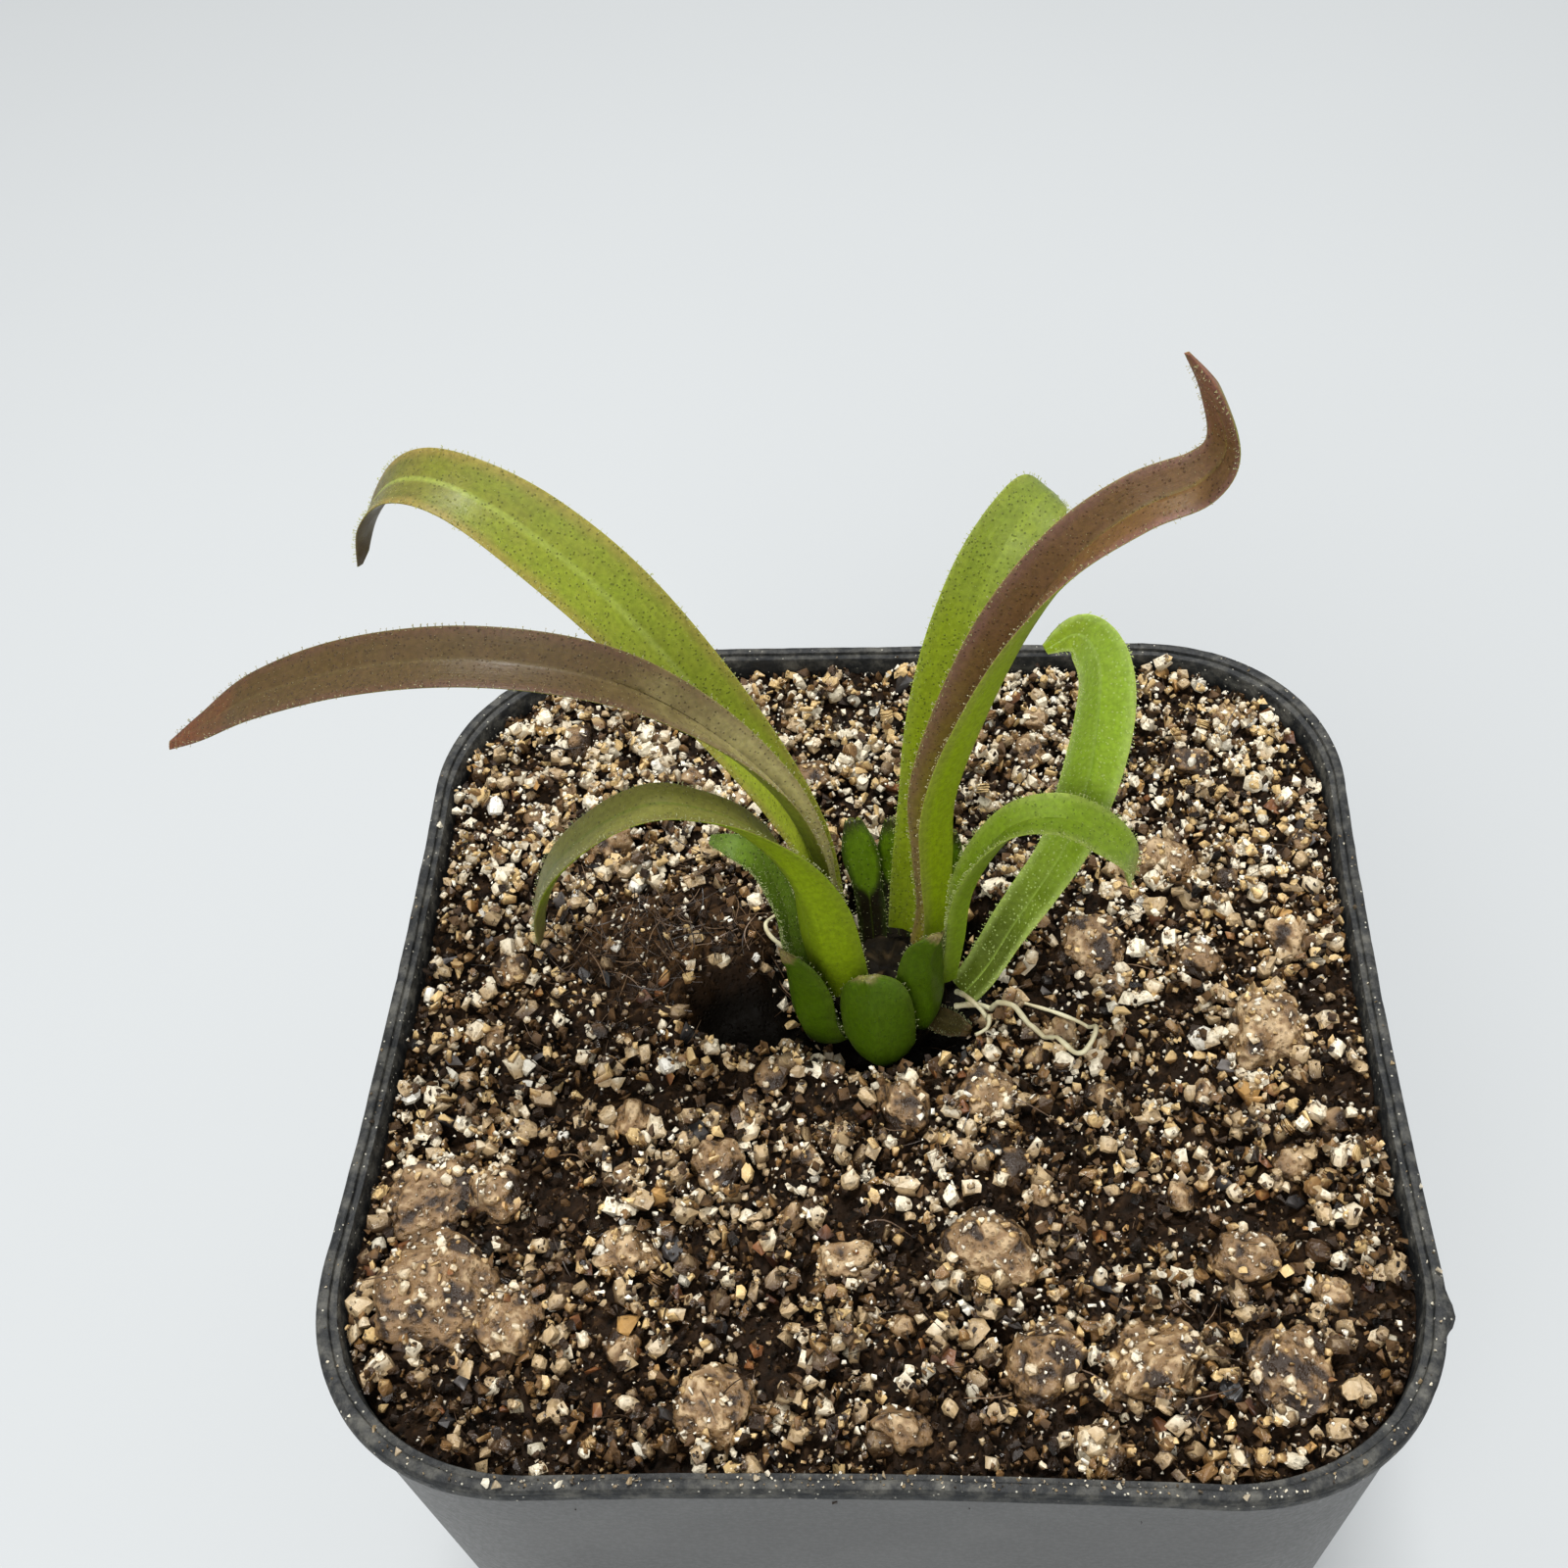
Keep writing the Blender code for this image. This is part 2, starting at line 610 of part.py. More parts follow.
def lump(x, y, radius, draw, finish):
    """A rounded pumice stone, half sunk in the soil."""
    work = bmesh.new()
    bmesh.ops.create_icosphere(work, subdivisions=2 if radius > FINE_LUMP else 1, radius=radius)
    shift = Vector((draw.random(), draw.random(), draw.random())) * 40
    for vert in work.verts:
        vert.co *= 1 + LUMP_ROUGHNESS * noise.noise(vert.co * 1.6 / radius + shift)
    stretch = (draw.uniform(0.85, 1.2), draw.uniform(0.8, 1.1), draw.uniform(0.6, 0.85))
    bmesh.ops.scale(work, verts=work.verts, vec=stretch)
    set_in_soil(work, x, y, Matrix.Rotation(draw.uniform(0, math.tau), 3, "Z"), radius)
    return object_of("lump", work, finish)


def chip(x, y, size, draw, finish):
    """A small angular grain, sunk by half."""
    work = bmesh.new()
    bmesh.ops.create_cube(work, size=size)
    for vert in work.verts:
        vert.co *= draw.uniform(0.75, 1.2)
    spin = Matrix.Rotation(draw.uniform(0, math.tau), 3, "Z")
    tilt = Matrix.Rotation(draw.uniform(0.2, 0.9), 3, "X")
    set_in_soil(work, x, y, spin @ tilt, size)
    bmesh.ops.triangulate(work, faces=work.faces)
    return object_of("chip", work, finish)


def set_in_soil(work, x, y, turn, size):
    """Turns a stone and sets it on the soil with its middle a little above the surface."""
    bmesh.ops.rotate(work, verts=work.verts, matrix=turn)
    middle = soil_height(x, y) + STONE_RAISE * size
    bmesh.ops.translate(work, verts=work.verts, vec=(x, y, middle))


def build_soil(finish):
    """The packed soil with its pumice lumps and grains, and the hole for the crown."""
    draw = random.Random(SEED)
    soil = soil_block(finish)
    bore = STEM_RADIUS + GAP
    hole = turned("hole", ((bore, -STEM_FOOT - GAP), (bore, 0.0)), STEM_SIDES, finish)
    hole.data.transform(Matrix.Translation(Vector((CROWN_X, CROWN_Y, POT_HEIGHT)) * MM))
    join(soil, [hole], "DIFFERENCE")
    taken = list(PUMICE)
    stones = [lump(x, y, radius, draw, finish) for x, y, radius in PUMICE]
    edge = soil_half(POT_HEIGHT) - GRAIN_MARGIN
    while len(taken) < len(PUMICE) + GRAIN_COUNT:
        x, y = draw.uniform(-edge, edge), draw.uniform(-edge, edge)
        size = draw.uniform(*GRAIN_SIZES)
        if not off_dish(x, y) or not in_corner(x, y, edge) or near_root(x, y):
            continue
        if any(math.dist((x, y), other[:2]) < (size + other[2]) * GRAIN_SPACING for other in taken):
            continue
        taken.append((x, y, size))
        stones.append(chip(x, y, size, draw, finish))
    join(soil, stones)
    join(soil, [soil_limit(finish)], "INTERSECT")
    return soil


def off_dish(x, y):
    """Whether a place lies outside the dish round the crown."""
    return math.hypot(x - CROWN_X, y - CROWN_Y) > DISH_RADIUS + DISH_SLOPE


def in_corner(x, y, edge):
    """Whether a place of the square of half width edge is inside its round corner."""
    past = [max(0, abs(place) - edge + GRAIN_CORNER) for place in (x, y)]
    return math.hypot(*past) < GRAIN_CORNER


def near_root(x, y):
    """Whether a place lies under one of the roots."""
    spots = [point for points in ROOTS.values() for point in points]
    return any(math.dist((x - CROWN_X, y - CROWN_Y), spot[:2]) < ROOT_CLEAR for spot in spots)


def main():
    clear_scene()
    green = material("leaf_green", (0.22, 0.35, 0.03), 0.45)
    bronze = material("leaf_bronze", (0.2, 0.12, 0.07), 0.45)
    deep = material("leaf_deep_green", (0.03, 0.1, 0.01), 0.5)
    build_pot(material("black_plastic", (0.02, 0.022, 0.023), 0.35))
    build_soil(material("gritty_soil", (0.16, 0.11, 0.07), 0.8))
    build_crown(deep)
    build_leaves({
        "leaf": green,
        "leaf_far_left": bronze,
        "leaf_right_kinked": bronze,
        "leaf_left_short": deep,
    })
    build_roots(material("root_white", (0.7, 0.65, 0.5), 0.5))


if __name__ == "__main__":
    main()
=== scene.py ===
"""The looks of a potted butterwort: a rosette of long leaves in gritty soil in a square pot.

Metres, +Z up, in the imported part's own frame. Sizes and places below are written in
millimetres, and a piece is scaled to metres when it is made.
"""

import json
import logging
import math
import random
from dataclasses import dataclass, field
from enum import Enum

import bmesh
import bpy
import numpy as np
from mathutils import Euler, Matrix, Vector, noise
from mathutils.bvhtree import BVHTree

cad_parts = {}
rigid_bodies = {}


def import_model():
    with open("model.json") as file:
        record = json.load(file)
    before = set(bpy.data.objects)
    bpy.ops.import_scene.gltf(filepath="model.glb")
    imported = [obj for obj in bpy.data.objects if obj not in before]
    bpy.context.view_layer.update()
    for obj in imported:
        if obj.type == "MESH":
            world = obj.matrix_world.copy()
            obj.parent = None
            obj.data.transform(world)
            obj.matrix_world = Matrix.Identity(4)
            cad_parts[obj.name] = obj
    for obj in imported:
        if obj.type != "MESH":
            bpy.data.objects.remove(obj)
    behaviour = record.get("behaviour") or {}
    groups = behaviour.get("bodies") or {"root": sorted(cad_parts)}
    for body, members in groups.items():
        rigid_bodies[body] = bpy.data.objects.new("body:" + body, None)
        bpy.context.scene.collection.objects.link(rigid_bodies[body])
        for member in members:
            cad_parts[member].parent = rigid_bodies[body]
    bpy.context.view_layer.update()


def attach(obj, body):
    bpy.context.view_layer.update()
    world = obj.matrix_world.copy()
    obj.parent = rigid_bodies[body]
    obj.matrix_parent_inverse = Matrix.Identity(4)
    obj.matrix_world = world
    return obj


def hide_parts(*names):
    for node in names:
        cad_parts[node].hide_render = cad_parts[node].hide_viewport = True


LOG = logging.getLogger("butterwort")
MM = 0.001
POT_TOP = 76.0
CROWN = Vector((0.5, 4.5, POT_TOP))
Colour = tuple[float, float, float, float]
Pair = tuple[float, float]
Row = tuple[float, ...]
Socket = bpy.types.NodeSocket
Work = bmesh.types.BMesh
# Nearly all of a noise pattern's values lie between these two.
NOISE_RANGE: Pair = (0.3, 0.7)


def tint(red: float, green: float, blue: float) -> Colour:
    """Turns a colour as a screen shows it into a linear one.

    Args:
        red, green, blue: the colour's parts, from 0 to 255.

    Returns:
        The linear colour with an alpha of 1.
    """
    parts = [part / 255 for part in (red, green, blue)]
    linear = [p / 12.92 if p <= 0.04045 else ((p + 0.055) / 1.055) ** 2.4 for p in parts]
    return linear[0], linear[1], linear[2], 1.0


# Shader sheets and shared effects


class Sheet:
    """Places the nodes of one shader tree and joins them."""

    LEFT = -1600
    COLUMN_STEP = 190
    ROW_STEP = 210
    ROWS = 4

    def __init__(self, tree: bpy.types.NodeTree) -> None:
        """Starts at the tree's left edge.

        Args:
            tree: the tree that the nodes go in.
        """
        self.tree = tree
        self.column = 0

    def node(self, kind: str, **settings: object) -> bpy.types.Node:
        """Adds a node.

        Args:
            kind: the node's type name.
            settings: properties to set on it.

        Returns:
            The new node.
        """
        made = self.tree.nodes.new(kind)
        made.location = (self.LEFT + self.column * self.COLUMN_STEP,
                         -(self.column % self.ROWS) * self.ROW_STEP)
        self.column += 1
        for name, value in settings.items():
            setattr(made, name, value)
        return made

    def feed(self, target: Socket, value: object) -> None:
        """Joins a socket to an input, or sets the input to a plain value.

        Args:
            target: the input.
            value: the socket or the value that it gets.
        """
        if isinstance(value, Socket):
            self.tree.links.new(value, target)
        else:
            target.default_value = value

    def math(self, way: str, a: object, b: object = 0.0, clamp: bool = False) -> Socket:
        """Joins two values by one sum.

        Args:
            way: the Math node's operation.
            a: the first value or socket.
            b: the second value or socket.
            clamp: whether the result is kept from 0 to 1.

        Returns:
            The result's socket.
        """
        made = self.node("ShaderNodeMath", operation=way, use_clamp=clamp)
        self.feed(made.inputs[0], a)
        self.feed(made.inputs[1], b)
        return made.outputs[0]

    def span(self, value: object, low: object, high: object, to_low: float = 0.0,
             to_high: float = 1.0) -> Socket:
        """Maps a value smoothly from one range to another, and clamps it.

        Args:
            value: the value or socket.
            low, high: the range that it comes in.
            to_low, to_high: the range that it goes to.

        Returns:
            The result's socket.
        """
        made = self.node("ShaderNodeMapRange", interpolation_type="SMOOTHSTEP")
        for name, part in (("Value", value), ("From Min", low), ("From Max", high),
                           ("To Min", to_low), ("To Max", to_high)):
            self.feed(made.inputs[name], part)
        return made.outputs["Result"]

    def mix(self, share: object, a: object, b: object, blend: str = "MIX") -> Socket:
        """Mixes two colours.

        Args:
            share: how much of the second colour shows.
            a: the first colour.
            b: the second colour.
            blend: the Mix node's blend type.

        Returns:
            The mixed colour's socket.
        """
        made = self.node("ShaderNodeMix", data_type="RGBA", blend_type=blend)
        self.feed(made.inputs[0], share)
        self.feed(made.inputs[6], a)
        self.feed(made.inputs[7], b)
        return made.outputs[2]

    def noise(self, where: object, scale: object, detail: float = 3.0,
              rough: float = 0.55) -> Socket:
        """Adds a noise pattern.

        Args:
            where: the socket of the place that it is read at.
            scale: how fine it is.
            detail: how many finer layers it has.
            rough: how strong each finer layer is.

        Returns:
            The socket of its value, from 0 to 1.
        """
        made = self.node("ShaderNodeTexNoise")
        self.feed(made.inputs["Vector"], where)
        self.feed(made.inputs["Scale"], scale)
        made.inputs["Detail"].default_value = detail
        made.inputs["Roughness"].default_value = rough
        return made.outputs["Fac"]

    def cells(self, where: object, scale: object) -> bpy.types.Node:
        """Adds a pattern of round cells.

        Args:
            where: the socket of the place that it is read at.
            scale: how fine it is.

        Returns:
            The pattern's node.
        """
        made = self.node("ShaderNodeTexVoronoi")
        self.feed(made.inputs["Vector"], where)
        self.feed(made.inputs["Scale"], scale)
        return made

    def place(self) -> Socket:
        """Returns the Object coordinates' socket."""
        return self.node("ShaderNodeTexCoord").outputs["Object"]

    def attribute(self, name: str) -> Socket:
        """Reads one of the piece's own attributes.

        Args:
            name: the attribute's name.

        Returns:
            The socket of its value.
        """
        return self.node("ShaderNodeAttribute", attribute_name=name).outputs["Fac"]

    def effect(self, group: bpy.types.NodeTree, **values: object) -> bpy.types.Node:
        """Places a shared effect.

        Args:
            group: the effect's node group.
            values: its inputs' values or sockets, with an underscore for a space.

        Returns:
            The placed group's node.
        """
        made = self.node("ShaderNodeGroup", node_tree=group)
        for name, value in values.items():
            self.feed(made.inputs[name.replace("_", " ")], value)
        return made


@dataclass
class Effects:
    """The node groups that more than one finish uses, each built once."""

    patch_reach: float = 0.4
    dot_core: float = 0.55
    hole: Pair = (0.18, 0.42)
    grain_fineness: float = 2.3
    dust_scale: float = 620.0
    dust_patch: Pair = (0.4, 0.75)
    dust_share: float = 0.24
    mote_scale: float = 1900.0
    mote: Pair = (0.08, 0.2)
    mote_share: float = 0.55

    def __post_init__(self) -> None:
        """Builds the groups."""
        self.mottle = self.build_mottle()
        self.specks = self.build_specks()
        self.pits = self.build_pits()
        self.dust = self.build_dust()

    @staticmethod
    def start(name: str, inputs: tuple[tuple[str, str, float], ...],
              outputs: tuple[str, ...]) -> tuple[Sheet, bpy.types.Node, bpy.types.Node]:
        """Starts a node group.

        Args:
            name: the group's name.
            inputs: each input's name, socket type and default.
            outputs: the names of its values that come out.

        Returns:
            The group's sheet, its input node and its output node.
        """
        tree = bpy.data.node_groups.new(name, "ShaderNodeTree")
        for label, kind, default in inputs:
            made = tree.interface.new_socket(label, in_out="INPUT", socket_type=kind)
            if kind == "NodeSocketFloat":
                made.default_value = default
        for label in outputs:
            tree.interface.new_socket(label, in_out="OUTPUT", socket_type="NodeSocketFloat")
        sheet = Sheet(tree)
        return sheet, sheet.node("NodeGroupInput"), sheet.node("NodeGroupOutput")

    def build_mottle(self) -> bpy.types.NodeTree:
        """Soft uneven patches, from 0 to 1."""
        sheet, given, out = self.start(
            "mottle", (("Vector", "NodeSocketVector", 0.0), ("Scale", "NodeSocketFloat", 300.0),
                       ("Contrast", "NodeSocketFloat", 0.5)), ("Mask",))
        patch = sheet.noise(given.outputs["Vector"], given.outputs["Scale"], 4.0, 0.6)
        reach = sheet.math("MULTIPLY", given.outputs["Contrast"], -self.patch_reach)
        low = sheet.math("ADD", reach, 0.5)
        high = sheet.math("SUBTRACT", 1.0, low)
        sheet.feed(out.inputs["Mask"], sheet.span(patch, low, high))
        return sheet.tree

    def build_specks(self) -> bpy.types.NodeTree:
        """Small round dots with some of them left out."""
        sheet, given, out = self.start(
            "specks", (("Vector", "NodeSocketVector", 0.0), ("Scale", "NodeSocketFloat", 2000.0),
                       ("Size", "NodeSocketFloat", 0.25), ("Share", "NodeSocketFloat", 0.6)),
            ("Mask",))
        dots = sheet.cells(given.outputs["Vector"], given.outputs["Scale"])
        split = sheet.node("ShaderNodeSeparateColor")
        sheet.feed(split.inputs[0], dots.outputs["Color"])
        edge = sheet.math("MULTIPLY", given.outputs["Size"], self.dot_core)
        round_dot = sheet.span(dots.outputs["Distance"], edge, given.outputs["Size"], 1.0, 0.0)
        kept = sheet.math("LESS_THAN", split.outputs[0], given.outputs["Share"])
        sheet.feed(out.inputs["Mask"], sheet.math("MULTIPLY", round_dot, kept))
        return sheet.tree

    def build_pits(self) -> bpy.types.NodeTree:
        """A rough surface with round holes, as a height, and a mask of the holes."""
        sheet, given, out = self.start(
            "pits", (("Vector", "NodeSocketVector", 0.0), ("Scale", "NodeSocketFloat", 900.0),
                     ("Depth", "NodeSocketFloat", 0.5)), ("Height", "Mask"))
        holes = sheet.cells(given.outputs["Vector"], given.outputs["Scale"])
        hole = sheet.span(holes.outputs["Distance"], *self.hole, 1.0, 0.0)
        finer = sheet.math("MULTIPLY", given.outputs["Scale"], self.grain_fineness)
        grain = sheet.noise(given.outputs["Vector"], finer, 4.0, 0.65)
        cut = sheet.math("MULTIPLY", hole, given.outputs["Depth"])
        sheet.feed(out.inputs["Height"], sheet.math("SUBTRACT", grain, cut))
        sheet.feed(out.inputs["Mask"], hole)
        return sheet.tree

    def build_dust(self) -> bpy.types.NodeTree:
        """Fine dust that lies in patches, with single brighter motes."""
        sheet, given, out = self.start(
            "dust", (("Vector", "NodeSocketVector", 0.0), ("Amount", "NodeSocketFloat", 0.5)),
            ("Mask",))
        patch = sheet.noise(given.outputs["Vector"], self.dust_scale, 6.0, 0.7)
        film = sheet.math("MULTIPLY", sheet.span(patch, *self.dust_patch),
                          sheet.math("MULTIPLY", given.outputs["Amount"], self.dust_share))
        motes = sheet.cells(given.outputs["Vector"], self.mote_scale)
        mote = sheet.span(motes.outputs["Distance"], *self.mote, 1.0, 0.0)
        split = sheet.node("ShaderNodeSeparateColor")
        sheet.feed(split.inputs[0], motes.outputs["Color"])
        shown = sheet.math("LESS_THAN", split.outputs[1],
                           sheet.math("MULTIPLY", given.outputs["Amount"], self.mote_share))
        sheet.feed(out.inputs["Mask"],
                   sheet.math("MAXIMUM", film, sheet.math("MULTIPLY", mote, shown)))
        return sheet.tree


def new_finish(name: str) -> tuple[bpy.types.Material, Sheet, bpy.types.Node]:
    """Starts a material.

    Args:
        name: the material's name.

    Returns:
        The material, the sheet of its tree, and its shader.
    """
    made = bpy.data.materials.new(name)
    made.use_nodes = True
    return made, Sheet(made.node_tree), made.node_tree.nodes["Principled BSDF"]


def raise_surface(sheet: Sheet, shader: bpy.types.Node, height: object, depth: float,
                  strength: float) -> None:
    """Gives a shader a bump.

    Args:
        sheet: the material's sheet.
        shader: its shader.
        height: the socket of the height.
        depth: how deep the bump is, in millimetres.
        strength: how much of it shows.
    """
    bump = sheet.node("ShaderNodeBump")
    bump.inputs["Strength"].default_value = strength
    bump.inputs["Distance"].default_value = depth * MM
    sheet.feed(bump.inputs["Height"], height)
    sheet.feed(shader.inputs["Normal"], bump.outputs["Normal"])


# Finishes


@dataclass(frozen=True)
class LeafFinish:
    """A leaf's surface: its colours along and across the blade, and its glands."""

    name: str
    blade: Colour
    base: Colour
    tip: Colour
    under: Colour
    margin: Colour
    midrib: Colour
    gland: Colour
    base_end: float = 0.3
    tip_start: float = 0.8
    margin_share: float = 0.6
    midrib_share: float = 0.5
    gland_share: float = 0.7
    roughness: float = 0.42
    base_start: float = 0.03
    base_point: float = 0.0

    def build(self, effects: Effects) -> bpy.types.Material:
        """Builds the material.

        Args:
            effects: the shared node groups.

        Returns:
            The material.
        """
        made, sheet, shader = new_finish(self.name)
        place = sheet.place()
        along, across, under = (sheet.attribute(n) for n in ("along", "across", "under"))
        wander = sheet.noise(place, 420.0, 3.0)
        shift = sheet.math("MULTIPLY_ADD", wander, 0.16)
        sheet.feed(shift.node.inputs[2], -0.08)
        reach = sheet.math("ADD", along, shift)
        beside = sheet.math("ABSOLUTE", across)
        inward = sheet.math("MULTIPLY", sheet.math("SUBTRACT", 1.0, beside), self.base_point)
        colour = sheet.mix(sheet.span(sheet.math("ADD", reach, inward), self.base_start,
                                      self.base_end), self.base, self.blade)
        colour = sheet.mix(sheet.span(reach, self.tip_start, 1.0), colour, self.tip)
        patches = sheet.effect(effects.mottle, Vector=place, Scale=520.0, Contrast=0.55)
        dark = sheet.mix(0.5, colour, self.margin)
        colour = sheet.mix(sheet.math("MULTIPLY", patches.outputs["Mask"], 0.22), colour, dark)
        rim = sheet.math("MULTIPLY", sheet.span(sheet.math("ADD", beside, shift), 0.62, 1.0),
                         self.margin_share)
        colour = sheet.mix(rim, colour, self.margin)
        rib = sheet.math("MULTIPLY", sheet.span(beside, 0.02, 0.17, 1.0, 0.0),
                         self.midrib_share)
        colour = sheet.mix(rib, colour, self.midrib)
        back = sheet.mix(sheet.math("MULTIPLY", rim, 0.6), self.under, self.margin)
        back = sheet.mix(sheet.math("MULTIPLY", rib, 0.7), back, self.midrib)
        back = sheet.mix(sheet.span(reach, self.tip_start, 1.0), back, self.tip)
        streaks = sheet.node("ShaderNodeCombineXYZ")
        sheet.feed(streaks.inputs[0], sheet.math("MULTIPLY", across, 9.0))
        sheet.feed(streaks.inputs[1], sheet.math("MULTIPLY", along, 5.0))
        streak = sheet.noise(streaks.outputs[0], 1.6, 4.0)
        colour = sheet.mix(under, colour, back)
        velvet = sheet.noise(place, 2600.0, 3.0, 0.6)
        vein = sheet.math("MULTIPLY", sheet.span(streak, *NOISE_RANGE, 0.94, 1.05),
                          sheet.span(velvet, 0.32, 0.68, 0.8, 1.16))
        tone = sheet.node("ShaderNodeCombineColor")
        for part in tone.inputs[:3]:
            sheet.feed(part, vein)
        colour = sheet.mix(0.75, colour, tone.outputs[0], "MULTIPLY")
        dots = sheet.effect(effects.specks, Vector=place, Scale=3300.0, Size=0.31,
                            Share=self.gland_share)
        seen = sheet.math("MULTIPLY", dots.outputs["Mask"],
                          sheet.math("SUBTRACT", 0.6, sheet.math("MULTIPLY", under, 0.4)))
        colour = sheet.mix(seen, colour, self.gland)
        sheet.feed(shader.inputs["Base Color"], colour)
        sheet.feed(shader.inputs["Roughness"],
                   sheet.span(wander, *NOISE_RANGE, self.roughness - 0.07, self.roughness + 0.08))
        shader.inputs["Specular IOR Level"].default_value = 0.2
        shader.inputs["Subsurface Weight"].default_value = 0.3
        shader.inputs["Subsurface Radius"].default_value = (0.7, 1.0, 0.2)
        shader.inputs["Subsurface Scale"].default_value = 0.7 * MM
        height = sheet.math("ADD", sheet.math("MULTIPLY", streak, 0.3),
                            sheet.math("MULTIPLY", dots.outputs["Mask"], 0.5))
        fine = sheet.noise(place, 5200.0, 3.0)
        raise_surface(sheet, shader, sheet.math("ADD", height, sheet.math("MULTIPLY", fine, 0.35)),
                      0.1, 0.55)
        return made


@dataclass(frozen=True)
class PlasticFinish:
    """The pot's moulded plastic: near black at the rim, with a film of dust on the wall."""

    name: str = "pot_black_plastic"
    body: Colour = tint(25, 27, 28)
    film: Colour = tint(116, 116, 115)
    dust: Colour = tint(180, 176, 162)
    wall_film: float = 0.6

    def build(self, effects: Effects) -> bpy.types.Material:
        """Builds the material.

        Args:
            effects: the shared node groups.

        Returns:
            The material.
        """
        made, sheet, shader = new_finish(self.name)
        place = sheet.place()
        split = sheet.node("ShaderNodeSeparateXYZ")
        sheet.feed(split.inputs[0], place)
        low = sheet.span(split.outputs[2], (POT_TOP - 2.6) * MM, (POT_TOP - 1.5) * MM, 1.0, 0.0)
        outside = sheet.attribute("outside")
        cloud = sheet.effect(effects.mottle, Vector=place, Scale=55.0, Contrast=0.3)
        film = sheet.math("MULTIPLY", sheet.math("MULTIPLY", low, outside),
                          sheet.span(cloud.outputs["Mask"], 0.0, 1.0, self.wall_film - 0.04,
                                     self.wall_film + 0.04))
        colour = sheet.mix(film, self.body, self.film)
        specks = sheet.effect(effects.dust, Vector=place, Amount=0.85)
        above = sheet.math("SUBTRACT", 1.0, sheet.math("MULTIPLY", low, 0.93))
        share = sheet.math("MULTIPLY", specks.outputs["Mask"], above)
        colour = sheet.mix(share, colour, self.dust)
        sheet.feed(shader.inputs["Base Color"], colour)
        fine = sheet.noise(place, 2600.0, 5.0, 0.65)
        worn = sheet.span(fine, *NOISE_RANGE, 0.42, 0.62)
        sheet.feed(shader.inputs["Roughness"],
                   sheet.math("ADD", worn, sheet.math("MULTIPLY", share, 0.3), clamp=True))
        shader.inputs["Specular IOR Level"].default_value = 0.3
        coarse = sheet.math("MULTIPLY", sheet.noise(place, 1100.0, 4.0, 0.6), above)
        height = sheet.math("ADD", fine, sheet.math("MULTIPLY", specks.outputs["Mask"], 0.7))
        raise_surface(sheet, shader,
                      sheet.math("ADD", sheet.math("MULTIPLY", fine, 0.3),
                                 sheet.math("MULTIPLY", sheet.math("ADD", height, coarse), above)),
                      0.09, 0.8)
        return made


class GrainKind(Enum):
    """The sorts of grain in the mix."""

    VERMICULITE = "vermiculite"
    SAND = "sand"
    GRIT = "grit"
    PERLITE = "perlite"
    SLATE = "slate"
    BARK = "bark"


@dataclass(frozen=True)
class GrainFinish:
    """Grains of one sort: three colours that the grains vary between, and their gloss."""

    name: str
    dark: Colour
    middle: Colour
    light: Colour
    roughness: float
    pit_scale: float = 1500.0
    pit_shade_share: float = 0.5
    bump: float = 0.5
    gloss: float = 0.5
    pit_depth: float = 0.7
    stain_scale: float = 900.0
    stain_contrast: float = 0.4
    stain_share: float = 0.3
    deep_share: float = 0.8
    wet_scale: float = 1300.0
    wet: Pair = (0.35, 0.65)
    wet_swing: float = 0.14
    bump_depth: float = 0.12

    def build(self, effects: Effects) -> bpy.types.Material:
        """Builds the material.

        Args:
            effects: the shared node groups.

        Returns:
            The material.
        """
        made, sheet, shader = new_finish(self.name)
        place = sheet.place()
        tone = sheet.attribute("tone")
        colour = sheet.mix(sheet.span(tone, 0.0, 0.5), self.dark, self.middle)
        colour = sheet.mix(sheet.span(tone, 0.5, 1.0), colour, self.light)
        pits = sheet.effect(effects.pits, Vector=place, Scale=self.pit_scale,
                            Depth=self.pit_depth)
        stain = sheet.effect(effects.mottle, Vector=place, Scale=self.stain_scale,
                             Contrast=self.stain_contrast)
        # Painted shade in the pits, with real stains: both darken the colour towards the dark one.
        shade = sheet.math("MAXIMUM", sheet.math("MULTIPLY", pits.outputs["Mask"], self.pit_shade_share),
                           sheet.math("MULTIPLY", stain.outputs["Mask"], self.stain_share))
        deep = sheet.mix(self.deep_share, colour, self.dark)
        sheet.feed(shader.inputs["Base Color"], sheet.mix(shade, colour, deep))
        wet = sheet.noise(place, self.wet_scale, 2.0)
        smoothest = max(0.08, self.roughness - self.wet_swing)
        sheet.feed(shader.inputs["Roughness"],
                   sheet.span(wet, *self.wet, smoothest, self.roughness + self.wet_swing))
        shader.inputs["Specular IOR Level"].default_value = self.gloss
        raise_surface(sheet, shader, pits.outputs["Height"], self.bump_depth, self.bump)
        return made


@dataclass(frozen=True)
class RootFinish:
    """The roots' pale skin, with browner stretches."""

    name: str = "root_skin"
    pale: Colour = tint(214, 208, 172)
    brown: Colour = tint(152, 132, 90)
    patch_scale: float = 480.0
    patch_share: float = 0.6
    fine_scale: float = 3800.0
    roughness: Pair = (0.32, 0.5)
    bump_depth: float = 0.05
    bump_strength: float = 0.5

    def build(self, effects: Effects) -> bpy.types.Material:
        """Builds the material.

        Args:
            effects: the shared node groups.

        Returns:
            The material.
        """
        made, sheet, shader = new_finish(self.name)
        place = sheet.place()
        patch = sheet.effect(effects.mottle, Vector=place, Scale=self.patch_scale, Contrast=0.4)
        share = sheet.math("MULTIPLY", patch.outputs["Mask"], self.patch_share)
        sheet.feed(shader.inputs["Base Color"], sheet.mix(share, self.pale, self.brown))
        fine = sheet.noise(place, self.fine_scale)
        sheet.feed(shader.inputs["Roughness"], sheet.span(fine, *NOISE_RANGE, *self.roughness))
        raise_surface(sheet, shader, fine, self.bump_depth, self.bump_strength)
        return made


